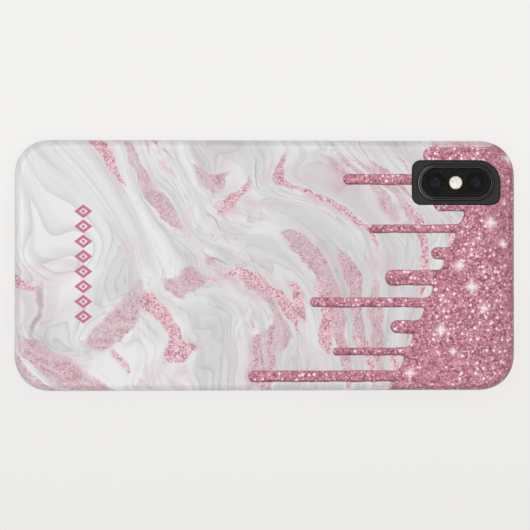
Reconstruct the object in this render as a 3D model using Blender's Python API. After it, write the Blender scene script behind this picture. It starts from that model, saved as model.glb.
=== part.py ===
"""Two-layer case for a 6.5-inch phone, lying on its front rim with its back up.

A hard shell snaps over a soft liner, which carries three button caps, a pile lining and a lens guard.
+X points to the phone's top end, +Y to its power-button side and +Z out of its back.
The origin is on the surface that the front rim rests on, at the middle of the case. Sizes are in metres.
"""

import math

import bmesh
import bpy
from mathutils import Vector

# The phone that the case holds, and the fit round it
PHONE_LENGTH = 0.1575
PHONE_WIDTH = 0.0770
PHONE_THICKNESS = 0.0077
POCKET_CLEARANCE = 0.0001

# Layers, counted outwards from the phone
LINER_WALL = 0.0007
LINER_BACK = 0.0007
LINING_THICKNESS = 0.0003
LAYER_GAP = 0.0002
SHELL_WALL = 0.00095
SHELL_BACK = 0.0011
LIP_THICKNESS = 0.0009

# Heights above the surface that the front rim rests on
POCKET_TOP = LIP_THICKNESS + PHONE_THICKNESS + POCKET_CLEARANCE
LINING_TOP = POCKET_TOP + LINING_THICKNESS
LINER_INSIDE_TOP = LINING_TOP + LAYER_GAP
LINER_TOP = LINER_INSIDE_TOP + LINER_BACK
SHELL_INSIDE_TOP = LINER_TOP + LAYER_GAP
SHELL_TOP = SHELL_INSIDE_TOP + SHELL_BACK
BUMPER_TOP = 0.0015
SHELL_RIM = BUMPER_TOP + LAYER_GAP

# Insets of each wall face from the widest outline, which is the shell's rim
SHELL_INNER_INSET = SHELL_WALL
LINER_OUTER_INSET = SHELL_INNER_INSET + LAYER_GAP
POCKET_INSET = LINER_OUTER_INSET + LINER_WALL
HALF_LENGTH = PHONE_LENGTH / 2 + POCKET_CLEARANCE + POCKET_INSET
HALF_WIDTH = PHONE_WIDTH / 2 + POCKET_CLEARANCE + POCKET_INSET

# Outline: corners of a superellipse, which flow into the straight sides
CORNER_REACH = 0.0124
CORNER_POWER = 2.25
CORNER_STEPS = 9

# Rolled edge between the back and the sides
ROLL_IN = 0.0030
ROLL_DOWN = 0.0034
ROLL_STEPS = 5
SIDE_DRAFT = 0.0002

# Bumper round the screen, part of the liner
BUMPER_INSET = 0.00035
BUMPER_EDGE = 0.0004
LIP_OVERHANG = 0.0012

# Notches in the shell's sides, open to its rim, and the liner's pads that stand in them
NOTCH_TOP = 0.0085
NOTCH_RADIUS = 0.0016
POWER_NOTCH = (0.0284, 0.0423)
VOLUME_NOTCH = (0.0237, 0.0634)
PORT_NOTCH = (-0.0232, 0.0232)
PAD_INSET = 0.0007
PAD_GAP = 0.0003
PAD_EDGE = 0.0002

# Button caps: a stem through the pad and a flange behind it
BUTTON_HEIGHT = 0.0036
BUTTON_MIDDLE = 0.0049
BUTTON_FACE_INSET = 0.00035
BUTTON_EDGE = 0.00025
FLANGE_MARGIN = 0.0007
FLANGE_OUTER_INSET = 0.00115
FLANGE_INNER_INSET = 0.00145
FLANGE_SEAT_INSET = 0.0010
BUTTON_CLEARANCE = 0.00015
BUTTONS = {
    # name: (middle along X, length, side of the case)
    "power_button_cap": (0.03535, 0.0104, 1),
    "volume_up_cap": (0.0432, 0.0100, -1),
    "volume_down_cap": (0.0307, 0.0100, -1),
}

# Openings through the liner's sides
OPENING_MIDDLE = BUTTON_MIDDLE
MUTE_SLOT_MIDDLE = 0.0570
MUTE_SLOT_LENGTH = 0.0086
MUTE_SLOT_HEIGHT = 0.0046
PORT_WIDTH = 0.0128
PORT_HEIGHT = 0.0054
SPEAKER_HOLE_RADIUS = 0.0008
SPEAKER_HOLE_STEPS = 12
SPEAKER_HOLE_PITCH = 0.0022
SPEAKER_HOLES = 5
SPEAKER_FIRST = 0.0104

# Camera opening in the shell, whose outer corner follows the case's own
CAMERA_LEFT = 0.0470
CAMERA_RIGHT = 0.0757
CAMERA_LOW = 0.0195
CAMERA_HIGH = 0.0339
CAMERA_CORNER = 0.0029
CAMERA_OUTER_CORNER = 0.0072
CAMERA_EDGE = 0.0003
SURROUND_RECESS = 0.00025
SURROUND_GAP = 0.00025

# Lens guard, a pill on the camera opening's middle
GUARD_X = 0.0613
GUARD_Y = 0.0267
BEZEL_LENGTH = 0.0246
BEZEL_WIDTH = 0.0113
BEZEL_RIM = 0.0009
BEZEL_TOP = SHELL_TOP - 0.0001
BEZEL_EDGE = 0.00018
BEZEL_LEDGE = 0.0008
BEZEL_FLANGE = 0.0010
BEZEL_FLANGE_HEIGHT = 0.00035
GUARD_GAP = 0.0002
GASKET_THICKNESS = 0.0002
MASK_THICKNESS = 0.0004
GLASS_THICKNESS = 0.0004
LENS_SPACING = 0.0065
LENS_HOLE_RADIUS = 0.0031
FLASH_HOLE_RADIUS = 0.00215
WINDOW_GAP = 0.0001
ROUND_STEPS = 32

# Pile lining, glued inside the liner's back and clear of its walls
LINING_INSET = 0.0040
LINING_CAMERA_MARGIN = 0.0022

PRINT_WHITE = (0.80, 0.78, 0.79, 1)
SOFT_BLACK = (0.020, 0.020, 0.021, 1)
CAP_BLACK = (0.012, 0.012, 0.013, 1)
PILE_GREY = (0.10, 0.10, 0.11, 1)
BEZEL_BLACK = (0.030, 0.030, 0.032, 1)
GLASS_CLEAR = (0.55, 0.58, 0.62, 0.35)
MASK_BLACK = (0.008, 0.008, 0.008, 1)
LENS_BLUE = (0.010, 0.018, 0.032, 1)
FLASH_CREAM = (0.80, 0.72, 0.62, 1)


def clear_scene():
    for obj in list(bpy.data.objects):
        bpy.data.objects.remove(obj)


def material(name, colour, roughness, metallic=0.0):
    made = bpy.data.materials.new(name)
    made.use_nodes = True
    shader = made.node_tree.nodes["Principled BSDF"]
    shader.inputs["Base Color"].default_value = colour
    shader.inputs["Roughness"].default_value = roughness
    shader.inputs["Metallic"].default_value = metallic
    return made


# Outlines are lists of (u, v) points, counter-clockwise, that stand for a closed loop.


def corner(middle, reach, quarter, steps, power=2.0):
    """The points of one corner, turning anticlockwise from quarter * 90 degrees."""
    points = []
    for step in range(steps + 1):
        angle = math.pi / 2 * step / steps
        along = reach * math.cos(angle) ** (2 / power)
        up = reach * math.sin(angle) ** (2 / power) if step else 0.0
        for _ in range(quarter):
            along, up = -up, along
        points.append((middle[0] + along, middle[1] + up))
    return points


def rectangle(low, high, radii, steps, power=2.0):
    """A rounded rectangle. The radii run from the high-u high-v corner, anticlockwise."""
    signs = ((1, 1), (-1, 1), (-1, -1), (1, -1))
    points = []
    for quarter, ((side, up), radius) in enumerate(zip(signs, radii)):
        middle = (
            (high[0] - radius) if side > 0 else (low[0] + radius),
            (high[1] - radius) if up > 0 else (low[1] + radius),
        )
        points += corner(middle, radius, quarter, steps, power)
    return points


def case_outline(inset):
    """The case's outline, moved inwards by inset."""
    half = (HALF_LENGTH - inset, HALF_WIDTH - inset)
    reach = max(CORNER_REACH - inset, 0.004)
    return rectangle((-half[0], -half[1]), half, [reach] * 4, CORNER_STEPS, CORNER_POWER)


def pill(middle, length, height, grow=0.0, steps=8):
    """A slot with round ends, its length along u."""
    half = (length / 2 + grow, height / 2 + grow)
    low = (middle[0] - half[0], middle[1] - half[1])
    high = (middle[0] + half[0], middle[1] + half[1])
    # A hair under the full radius keeps the two ends of each round end apart.
    radius = min(half) * 0.999
    return rectangle(low, high, [radius] * 4, steps)


def circle(middle, radius, steps=ROUND_STEPS):
    turns = [2 * math.pi * step / steps for step in range(steps)]
    return [(middle[0] + radius * math.cos(turn), middle[1] + radius * math.sin(turn)) for turn in turns]


def flat(outline, z):
    """A ring parallel to the back."""
    return [Vector((u, v, z)) for u, v in outline]


def on_side(outline, y):
    """A ring parallel to a long side: u runs along X and v up."""
    return [Vector((u, y, v)) for u, v in outline]


def on_end(outline, x):
    """A ring parallel to an end: u runs along Y and v up."""
    return [Vector((x, u, v)) for u, v in outline]


def loft(name, rings, endless=False):
    """A closed skin through rings of equally many points, capped at both ends unless it is endless."""
    mesh = bmesh.new()
    loops = [[mesh.verts.new(point) for point in ring] for ring in rings]
    joined = list(zip(loops, loops[1:]))
    if endless:
        joined.append((loops[-1], loops[0]))
    else:
        mesh.faces.new(loops[0])
        mesh.faces.new(loops[-1])
    for first, second in joined:
        count = len(first)
        for k in range(count):
            mesh.faces.new((first[k], first[(k + 1) % count], second[(k + 1) % count], second[k]))
    bmesh.ops.recalc_face_normals(mesh, faces=mesh.faces[:])
    data = bpy.data.meshes.new(name)
    mesh.to_mesh(data)
    mesh.free()
    made = bpy.data.objects.new(name, data)
    bpy.context.scene.collection.objects.link(made)
    return made


def finished(obj, look, sharp_over=35.0):
    obj.data.materials.append(look)
    obj.data.shade_smooth()
    obj.data.set_sharp_from_angle(angle=math.radians(sharp_over))
    return obj


def helper(obj):
    """Marks a cutter or an added block, which isn't a piece by itself."""
    obj.hide_render = True
    obj.display_type = "WIRE"
    return obj


def boolean(obj, operation, *others):
    for other in others:
        step = obj.modifiers.new(f"{operation.lower()}_{other.name}", "BOOLEAN")
        step.operation = operation
        step.solver = "EXACT"
        step.object = helper(other)


def rolled_profile(side_inset, top, roll_in, roll_down):
    """(inset, z) pairs from the flat back round the rolled edge to the side."""
    pairs = []
    for step in range(ROLL_STEPS + 1):
        angle = math.pi / 2 * step / ROLL_STEPS
        inset = side_inset + SIDE_DRAFT + roll_in * (1 - math.sin(angle))
        pairs.append((inset, top - roll_down * (1 - math.cos(angle))))
    return pairs


def rings_of(profile):
    return [flat(case_outline(inset), z) for inset, z in profile]


def camera_outline(shrink=0.0):
    """The camera opening. Only its outer corner, by the case's own, is large."""
    low = (CAMERA_LEFT + shrink, CAMERA_LOW + shrink)
    high = (CAMERA_RIGHT - shrink, CAMERA_HIGH - shrink)
    small = CAMERA_CORNER - shrink
    return rectangle(low, high, [CAMERA_OUTER_CORNER - shrink, small, small, small], 7)


def notch_outline(span, margin=0.0):
    """A notch or its pad, seen from the side. It runs down past the rim, and margin makes it smaller."""
    low = (span[0] + margin, BUMPER_TOP - 0.0006 if margin else -0.001)
    high = (span[1] - margin, NOTCH_TOP - margin)
    return rectangle(low, high, [NOTCH_RADIUS, NOTCH_RADIUS, 0.0003, 0.0003], 5)


def wall_cutter(name, outline, place, wall, deep):
    """A cutter through the wall whose outer face is at wall, from outside it to deep inside it."""
    side = math.copysign(1, wall)
    return loft(name, [place(outline, wall + side * 0.002), place(outline, wall - side * deep)])


def outer_shell(look):
    """The hard printed shell, open at the front and cut for the camera, the buttons and the port."""
    outside = rolled_profile(0.0, SHELL_TOP, ROLL_IN, ROLL_DOWN)
    outside.append((0.0, SHELL_RIM + 0.0002))
    outside.append((0.0002, SHELL_RIM))
    roll_in = ROLL_IN - SHELL_WALL
    roll_down = ROLL_DOWN - SHELL_BACK
    inside = rolled_profile(SHELL_INNER_INSET, SHELL_INSIDE_TOP, roll_in, roll_down)
    inside.append((SHELL_INNER_INSET, SHELL_RIM))
    shell = loft("outer_shell", rings_of(outside + inside[::-1]))
    beyond = 0.002
    camera = loft(
        "camera_cutter",
        [
            flat(camera_outline(), SHELL_INSIDE_TOP - beyond),
            flat(camera_outline(), SHELL_TOP - CAMERA_EDGE),
            flat(camera_outline(-CAMERA_EDGE), SHELL_TOP),
            flat(camera_outline(-CAMERA_EDGE), SHELL_TOP + beyond),
        ],
    )
    deep = 0.0045
    power = wall_cutter("power_notch_cutter", notch_outline(POWER_NOTCH), on_side, HALF_WIDTH, deep)
    volume = wall_cutter("volume_notch_cutter", notch_outline(VOLUME_NOTCH), on_side, -HALF_WIDTH, deep)
    port = wall_cutter("port_notch_cutter", notch_outline(PORT_NOTCH), on_end, -HALF_LENGTH, deep)
    boolean(shell, "DIFFERENCE", camera, power, volume, port)
    return finished(shell, look)


def liner_pad(name, span, place, wall):
    """A thickened stretch of the liner's side that fills one of the shell's notches."""
    side = math.copysign(1, wall)
    face = wall - side * PAD_INSET
    root = wall - side * (LINER_OUTER_INSET + LINER_WALL / 2)
    return loft(
        name,
        [
            place(notch_outline(span, PAD_GAP), root),
            place(notch_outline(span, PAD_GAP), face - side * PAD_EDGE),
            place(notch_outline(span, PAD_GAP + PAD_EDGE), face),
        ],
    )


def button_cutters():
    """For each cap, a hole for its stem and a wider seat behind it for its flange."""
    made = []
    for name, (middle, length, side) in BUTTONS.items():
        at = (middle, BUTTON_MIDDLE)
        stem = pill(at, length, BUTTON_HEIGHT, BUTTON_CLEARANCE)
        seat = pill(at, length, BUTTON_HEIGHT, FLANGE_MARGIN + BUTTON_CLEARANCE)
        seat_face = side * (HALF_WIDTH - FLANGE_SEAT_INSET)
        rings = [
            on_side(stem, side * (HALF_WIDTH + 0.001)),
            on_side(stem, seat_face),
            on_side(seat, seat_face),
            on_side(seat, side * (HALF_WIDTH - POCKET_INSET - 0.001)),
        ]
        made.append(loft(f"{name}_cutter", rings))
    return made


def side_opening_cutters():
    """The mute switch's slot, the charging port and the rows of speaker holes beside it."""
    deep = POCKET_INSET + 0.001
    slot = pill((MUTE_SLOT_MIDDLE, OPENING_MIDDLE), MUTE_SLOT_LENGTH, MUTE_SLOT_HEIGHT)
    port = pill((0.0, OPENING_MIDDLE), PORT_WIDTH, PORT_HEIGHT)
    made = [
        wall_cutter("mute_slot_cutter", slot, on_side, -HALF_WIDTH, deep),
        wall_cutter("port_cutter", port, on_end, -HALF_LENGTH, deep),
    ]
    for side in (-1, 1):
        for number in range(SPEAKER_HOLES):
            middle = side * (SPEAKER_FIRST + SPEAKER_HOLE_PITCH * number)
            hole = circle((middle, OPENING_MIDDLE), SPEAKER_HOLE_RADIUS, SPEAKER_HOLE_STEPS)
            name = f"speaker_hole_cutter_{side * (number + 1)}"
            made.append(wall_cutter(name, hole, on_end, -HALF_LENGTH, deep))
    return made


def guard_pill(grow=0.0, steps=12):
    return pill((GUARD_X, GUARD_Y), BEZEL_LENGTH, BEZEL_WIDTH, grow, steps)


def camera_surround():
    """The raised black field round the lens guard, which fills the shell's camera opening."""
    top = SHELL_TOP - SURROUND_RECESS
    edge = 0.0002
    return loft(
        "camera_surround",
        [
            flat(camera_outline(SURROUND_GAP), LINER_TOP - LINER_BACK / 2),
            flat(camera_outline(SURROUND_GAP), top - edge),
            flat(camera_outline(SURROUND_GAP + edge), top),
        ],
    )


def guard_cutter():
    """The pill-shaped hole that the lens guard stands in, with a seat inside for its flange."""
    hole = guard_pill(GUARD_GAP)
    seat = guard_pill(BEZEL_FLANGE + GUARD_GAP)
    seat_top = LINER_INSIDE_TOP + BEZEL_FLANGE_HEIGHT + GUARD_GAP
    return loft(
        "guard_cutter",
        [
            flat(hole, SHELL_TOP + 0.001),
            flat(hole, seat_top),
            flat(seat, seat_top),
            flat(seat, LINER_INSIDE_TOP - 0.001),
        ],
    )


def soft_liner(look):
    """The soft black liner, with a bumper and lip round the screen, pads and the camera surround."""
    top_in = ROLL_IN - SHELL_WALL - LAYER_GAP
    top_down = ROLL_DOWN - SHELL_BACK - LAYER_GAP
    outside = rolled_profile(LINER_OUTER_INSET, LINER_TOP, top_in, top_down)
    outside.append((LINER_OUTER_INSET, BUMPER_TOP))
    outside.append((BUMPER_INSET + 0.0001, BUMPER_TOP))
    outside.append((BUMPER_INSET, BUMPER_TOP - 0.0002))
    outside.append((BUMPER_INSET, BUMPER_EDGE))
    outside.append((BUMPER_INSET + BUMPER_EDGE, 0.0))
    lip_inset = POCKET_INSET + LIP_OVERHANG
    inside = rolled_profile(POCKET_INSET, LINER_INSIDE_TOP, top_in - LINER_WALL, top_down - LINER_BACK)
    inside.append((POCKET_INSET, LIP_THICKNESS))
    inside.append((lip_inset, LIP_THICKNESS))
    inside.append((lip_inset, BUMPER_EDGE / 2))
    inside.append((lip_inset - BUMPER_EDGE / 2, 0.0))
    liner = loft("soft_liner", rings_of(outside + inside[::-1]))
    power_pad = liner_pad("power_pad", POWER_NOTCH, on_side, HALF_WIDTH)
    volume_pad = liner_pad("volume_pad", VOLUME_NOTCH, on_side, -HALF_WIDTH)
    port_pad = liner_pad("port_pad", PORT_NOTCH, on_end, -HALF_LENGTH)
    boolean(liner, "UNION", power_pad, volume_pad, port_pad, camera_surround())
    boolean(liner, "DIFFERENCE", guard_cutter(), *button_cutters(), *side_opening_cutters())
    return finished(liner, look)


def pile_lining(look):
    """The thin pile sheet inside the back, with a window for the lens guard."""
    outline = case_outline(LINING_INSET)
    lining = loft("pile_lining", [flat(outline, POCKET_TOP), flat(outline, LINING_TOP)])
    window = guard_pill(BEZEL_FLANGE + LINING_CAMERA_MARGIN)
    rings = [flat(window, POCKET_TOP - 0.001), flat(window, LINING_TOP + 0.001)]
    boolean(lining, "DIFFERENCE", loft("lining_cutter", rings))
    return finished(lining, look)


def button_cap(name, look):
    """A cap with a flange behind it. Its origin is at its middle, on its slide's axis."""
    middle, length, side = BUTTONS[name]
    centre_inset = (BUTTON_FACE_INSET + FLANGE_INNER_INSET) / 2

    def at(inset):
        return side * (centre_inset - inset)

    flange = pill((0, 0), length, BUTTON_HEIGHT, FLANGE_MARGIN)
    stem = pill((0, 0), length, BUTTON_HEIGHT)
    face = pill((0, 0), length, BUTTON_HEIGHT, -BUTTON_EDGE)
    cap = loft(
        name,
        [
            on_side(flange, at(FLANGE_INNER_INSET)),
            on_side(flange, at(FLANGE_OUTER_INSET)),
            on_side(stem, at(FLANGE_OUTER_INSET)),
            on_side(stem, at(BUTTON_FACE_INSET + BUTTON_EDGE)),
            on_side(face, at(BUTTON_FACE_INSET)),
        ],
    )
    cap.location = (middle, side * (HALF_WIDTH - centre_inset), BUTTON_MIDDLE)
    return finished(cap, look)


# Heights inside the lens guard, from the ledge up
LEDGE_TOP = SHELL_TOP - 0.0018
GASKET_BOTTOM = LEDGE_TOP + WINDOW_GAP
MASK_BOTTOM = GASKET_BOTTOM + GASKET_THICKNESS + WINDOW_GAP
MASK_TOP = MASK_BOTTOM + MASK_THICKNESS
GLASS_BOTTOM = MASK_TOP + WINDOW_GAP
GLASS_TOP = GLASS_BOTTOM + GLASS_THICKNESS


def lens_guard_bezel(look):
    """The lens guard's metal ring: a rim round the glass, a ledge under it and a flange that holds it in."""
    bottom = LINER_INSIDE_TOP
    flange_top = bottom + BEZEL_FLANGE_HEIGHT
    rings = [
        flat(guard_pill(BEZEL_FLANGE), bottom),
        flat(guard_pill(BEZEL_FLANGE), flange_top),
        flat(guard_pill(), flange_top),
        flat(guard_pill(), BEZEL_TOP - BEZEL_EDGE),
        flat(guard_pill(-BEZEL_EDGE), BEZEL_TOP),
        flat(guard_pill(BEZEL_EDGE - BEZEL_RIM), BEZEL_TOP),
        flat(guard_pill(-BEZEL_RIM), BEZEL_TOP - BEZEL_EDGE),
        flat(guard_pill(-BEZEL_RIM), LEDGE_TOP),
        flat(guard_pill(-BEZEL_RIM - BEZEL_LEDGE), LEDGE_TOP),
        flat(guard_pill(-BEZEL_RIM - BEZEL_LEDGE), bottom),
    ]
    return finished(loft("lens_guard_bezel", rings, endless=True), look)


def lens_guard_gasket(look):
    """The soft ring between the bezel's ledge and the mask."""
    top = GASKET_BOTTOM + GASKET_THICKNESS
    outer = guard_pill(-BEZEL_RIM - GUARD_GAP)
    inner = guard_pill(-BEZEL_RIM - BEZEL_LEDGE)
    rings = [flat(outer, GASKET_BOTTOM), flat(outer, top), flat(inner, top), flat(inner, GASKET_BOTTOM)]
    return finished(loft("lens_guard_gasket", rings, endless=True), look)


def window_centre(place):
    """The middle of a window: -1 and 1 are the two lens windows, and 0 is the flash window."""
    return (GUARD_X + place * LENS_SPACING, GUARD_Y)


def lens_guard_mask(look):
    """The black plate under the glass, with a round hole for each window."""
    outline = guard_pill(-BEZEL_RIM - GUARD_GAP)
    mask = loft("lens_guard_mask", [flat(outline, MASK_BOTTOM), flat(outline, MASK_TOP)])
    for place, radius in ((-1, LENS_HOLE_RADIUS), (0, FLASH_HOLE_RADIUS), (1, LENS_HOLE_RADIUS)):
        hole = circle(window_centre(place), radius)
        rings = [flat(hole, MASK_BOTTOM - 0.001), flat(hole, MASK_TOP + 0.001)]
        boolean(mask, "DIFFERENCE", loft(f"window_cutter_{place}", rings))
    return finished(mask, look)


def guard_window(name, place, hole_radius, look):
    """A disc set in one of the mask's holes."""
    disc = circle(window_centre(place), hole_radius - WINDOW_GAP)
    return finished(loft(name, [flat(disc, MASK_BOTTOM), flat(disc, MASK_TOP)]), look)


def lens_guard_glass(look):
    """The clear plate over the mask, with a softened edge."""
    edge = 0.0001
    outer = guard_pill(-BEZEL_RIM - GUARD_GAP)
    rings = [
        flat(outer, GLASS_BOTTOM),
        flat(outer, GLASS_TOP - edge),
        flat(guard_pill(-BEZEL_RIM - GUARD_GAP - edge), GLASS_TOP),
    ]
    return finished(loft("lens_guard_glass", rings), look)


def main():
    clear_scene()
    outer_shell(material("printed_shell", PRINT_WHITE, 0.22))
    soft_black = material("soft_black", SOFT_BLACK, 0.65)
    soft_liner(soft_black)
    pile_lining(material("grey_pile", PILE_GREY, 0.95))
    cap_black = material("cap_black", CAP_BLACK, 0.4)
    for name in BUTTONS:
        button_cap(name, cap_black)
    lens_guard_bezel(material("bezel_metal", BEZEL_BLACK, 0.3, metallic=1.0))
    lens_guard_gasket(soft_black)
    lens_guard_mask(material("mask_black", MASK_BLACK, 0.3))
    lens_look = material("coated_glass", LENS_BLUE, 0.08)
    guard_window("lower_lens_window", -1, LENS_HOLE_RADIUS, lens_look)
    guard_window("upper_lens_window", 1, LENS_HOLE_RADIUS, lens_look)
    guard_window("flash_window", 0, FLASH_HOLE_RADIUS, material("flash_cream", FLASH_CREAM, 0.5))
    lens_guard_glass(material("clear_glass", GLASS_CLEAR, 0.03))


main()
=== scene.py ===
"""A printed two-layer phone case, lying on its front rim with its back up.

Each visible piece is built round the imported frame, in metres, with +X towards the phone's top end and +Y
towards its power-button side. The print is laid out in millimetres from the middle of the back.
"""

import math

import bmesh
import bpy
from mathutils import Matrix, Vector


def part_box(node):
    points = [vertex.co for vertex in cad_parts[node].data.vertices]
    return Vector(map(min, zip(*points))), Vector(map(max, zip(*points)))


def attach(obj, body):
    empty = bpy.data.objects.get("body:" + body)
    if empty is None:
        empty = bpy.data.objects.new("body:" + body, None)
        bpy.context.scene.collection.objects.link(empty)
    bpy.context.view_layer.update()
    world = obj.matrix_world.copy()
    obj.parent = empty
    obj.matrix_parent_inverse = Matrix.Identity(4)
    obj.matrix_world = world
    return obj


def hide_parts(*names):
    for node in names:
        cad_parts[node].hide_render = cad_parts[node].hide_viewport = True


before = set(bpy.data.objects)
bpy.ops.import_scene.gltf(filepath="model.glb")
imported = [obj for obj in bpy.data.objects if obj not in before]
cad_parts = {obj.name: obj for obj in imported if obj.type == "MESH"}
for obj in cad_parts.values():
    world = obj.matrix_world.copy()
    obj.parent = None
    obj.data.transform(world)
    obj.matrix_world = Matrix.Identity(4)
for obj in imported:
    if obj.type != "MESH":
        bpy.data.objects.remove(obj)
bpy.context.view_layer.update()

bl_info = {
    "name": "Printed phone case",
    "version": (1, 0, 0),
    "blender": (4, 5, 0),
    "location": "View3D > Sidebar > Phone case",
    "description": "Builds the visible pieces of a printed two-layer phone case round its frame",
    "category": "Object",
}

MM = 0.001

# Places measured from the frame
SHELL_LOW, SHELL_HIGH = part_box("outer_shell")
LINING_LOW, LINING_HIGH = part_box("pile_lining")
BEZEL_LOW, BEZEL_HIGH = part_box("lens_guard_bezel")
GASKET_LOW, GASKET_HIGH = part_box("lens_guard_gasket")
MASK_LOW, MASK_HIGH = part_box("lens_guard_mask")
GLASS_LOW, GLASS_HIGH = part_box("lens_guard_glass")
HALF_LENGTH = SHELL_HIGH.x
HALF_WIDTH = SHELL_HIGH.y
SHELL_TOP = SHELL_HIGH.z
SHELL_RIM = SHELL_LOW.z
LINER_INSIDE_TOP = BEZEL_LOW.z
GUARD = (BEZEL_LOW + BEZEL_HIGH) / 2

# Layers, counted inwards from the widest outline
SHELL_WALL = 0.00095
LAYER_GAP = 0.0002
LINER_WALL = 0.0007
LINER_BACK = 0.0007
SHELL_BACK = 0.0011
LINER_OUTER_INSET = SHELL_WALL + LAYER_GAP
POCKET_INSET = LINER_OUTER_INSET + LINER_WALL
LINER_TOP = LINER_INSIDE_TOP + LINER_BACK

# Rolled edge between the back and the sides
ROLL_IN = 0.0030
ROLL_DOWN = 0.0034
SIDE_DRAFT = 0.0002

# Bumper and lip round the screen
BUMPER_TOP = SHELL_RIM - LAYER_GAP
BUMPER_INSET = 0.00035
BUMPER_EDGE = 0.0004
BUMPER_TOP_EDGE = 0.0002
LIP_THICKNESS = 0.0009
LIP_OVERHANG = 0.0012

# Notches in the shell's sides and the pads that stand in them
NOTCH_TOP = 0.0085
NOTCH_RADIUS = 0.0016
NOTCH_FOOT_RADIUS = 0.0003
PAD_INSET = 0.0007
PAD_GAP = 0.0003
PAD_EDGE = 0.00025
PAD_ROOT = 0.0006

# Openings through the liner's sides
OPENING_MIDDLE = 0.0049
MUTE_SLOT_MIDDLE = 0.0570
MUTE_SLOT_LENGTH = 0.0086
MUTE_SLOT_HEIGHT = 0.0046
PORT_WIDTH = 0.0128
PORT_HEIGHT = 0.0054
SPEAKER_HOLE_RADIUS = 0.0008
SPEAKER_HOLE_PITCH = 0.0022
SPEAKER_HOLES = 5
SPEAKER_FIRST = 0.0104
SLOT_EDGE = 0.0003
HOLE_EDGE = 0.0002

# Button caps: a stem through the pad and a flange behind it
BUTTONS = ("power_button", "volume_up", "volume_down")
FLANGE_MARGIN = 0.0007
FLANGE_THICKNESS = 0.0003
FLANGE_SEAT_INSET = 0.0010
BUTTON_CLEARANCE = 0.00015
BUTTON_MOUTH = 0.00015
BUTTON_EDGE = 0.0004
BUTTON_CROWN = 0.00005

# Camera opening in the shell, whose outer corner follows the case's own
CAMERA_LOW = Vector((0.0470, 0.0195))
CAMERA_HIGH = Vector((0.0757, 0.0339))
CAMERA_CORNER = 0.0029
CAMERA_OUTER_CORNER = 0.0072
SURROUND_RECESS = 0.00025
SURROUND_GAP = 0.00025
SURROUND_EDGE = 0.0003
# How far the slope round the guard falls, as a share of its width
SURROUND_FALL = 0.42

# Lens guard
BEZEL_FLANGE = 0.0010
BEZEL_FLANGE_HEIGHT = 0.00035
BEZEL_LENGTH = 0.0246
BEZEL_WIDTH = 0.0113
BEZEL_RIM = 0.0009
BEZEL_LEDGE = 0.0008
LEDGE_TOP = GASKET_LOW.z - 0.0001
GUARD_GAP = 0.0002
BEZEL_EDGE = 0.00024
GLASS_EDGE = 0.0001
MASK_CHAMFER = 0.00006
WINDOW_GAP = 0.0001
WINDOW_FLANGE = 0.0004
LINING_WINDOW_GAP = 0.0022

# Lens: a dome whose middle is a little below the rim, then steps up to the rim as (radius, depth)
DOME_RADIUS = 0.0014
DOME_DEPTH = 0.00006
DOME_RISE = 0.00018
BARREL_STEPS = ((0.0016, 0.00030), (0.0020, 0.00022), (0.0024, 0.00012))
BARREL_LAND = 0.00034
BARREL_MOUTH = 0.0028
LENS_EDGE = 0.00004

# Flash window: fine ridges, each with a sloping side
RIDGES = 9
RIDGED_RADIUS = 0.0019
RIDGE_DEPTH = 0.00004
RIDGE_CENTRE = 0.00003
RIDGE_BACK = 0.15
FLASH_EDGE = 0.00005

# The pour of glitter: where its edge crosses the middle, how far it slants, and its drips, in millimetres
POUR_EDGE = 57.0
POUR_SLANT = 0.42
DRIP_SPACING = 7.9
DRIP_COUNT = 12
SHORTEST_DRIP, LONGEST_DRIP = 5.0, 50.0
THINNEST_DRIP, THICKEST_DRIP = 1.2, 2.7
DRIP_FILLET = 2.2
# Starbursts, and the width of the case that they are spread over
STAR_COUNT = 11
STAR_ROWS = 76.0
# Steps of this share of a turn never fall into a pattern.
GOLDEN_STEP = 0.618034

# How far a cutter reaches past what it cuts
CUT_PAST = 0.001
# A gap too small to see, and the ring that stands for a disc's centre
HAIR_GAP = 0.00001
CENTRE_RING = 0.00002

# How finely curves are divided
CORNER_STEPS = 28
ROLL_STEPS = 14
EDGE_STEPS = 4
DISC_STEPS = 64


def srgb(red, green, blue):
    """A linear colour from the 0 to 255 values that a colour picker shows."""

    def linear(value):
        value /= 255
        return value / 12.92 if value <= 0.04045 else ((value + 0.055) / 1.055) ** 2.4

    return (linear(red), linear(green), linear(blue), 1.0)


# Outlines are lists of (u, v) points, anticlockwise, that stand for a closed loop.


def corner(middle, reach, quarter, steps, power):
    """The points of one corner, turning anticlockwise from quarter * 90 degrees."""
    points = []
    for step in range(steps + 1):
        angle = math.pi / 2 * step / steps
        along = reach * math.cos(angle) ** (2 / power) if step < steps else 0.0
        up = reach * math.sin(angle) ** (2 / power) if step else 0.0
        for _ in range(quarter):
            along, up = -up, along
        points.append((middle[0] + along, middle[1] + up))
    return points


def rectangle(low, high, radii, steps, power=2.0):
    """A rounded rectangle. The radii run from the high-u high-v corner, anticlockwise."""
    points = []
    for quarter, (side, up) in enumerate(((1, 1), (-1, 1), (-1, -1), (1, -1))):
        radius = radii[quarter]
        u = high[0] - radius if side > 0 else low[0] + radius
        v = high[1] - radius if up > 0 else low[1] + radius
        points += corner((u, v), radius, quarter, steps, power)
    return points


def pill(middle, length, height, grow=0.0, steps=12):
    """A slot with round ends, its length along u."""
    half = (length / 2 + grow, height / 2 + grow)
    low = (middle[0] - half[0], middle[1] - half[1])
    high = (middle[0] + half[0], middle[1] + half[1])
    # A hair under the full radius keeps the two ends of each round end apart.
    return rectangle(low, high, [min(half) * 0.999] * 4, steps)


def circle(middle, radius, steps=48):
    turns = [2 * math.pi * step / steps for step in range(steps)]
    return [(middle[0] + radius * math.cos(turn), middle[1] + radius * math.sin(turn)) for turn in turns]


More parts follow.
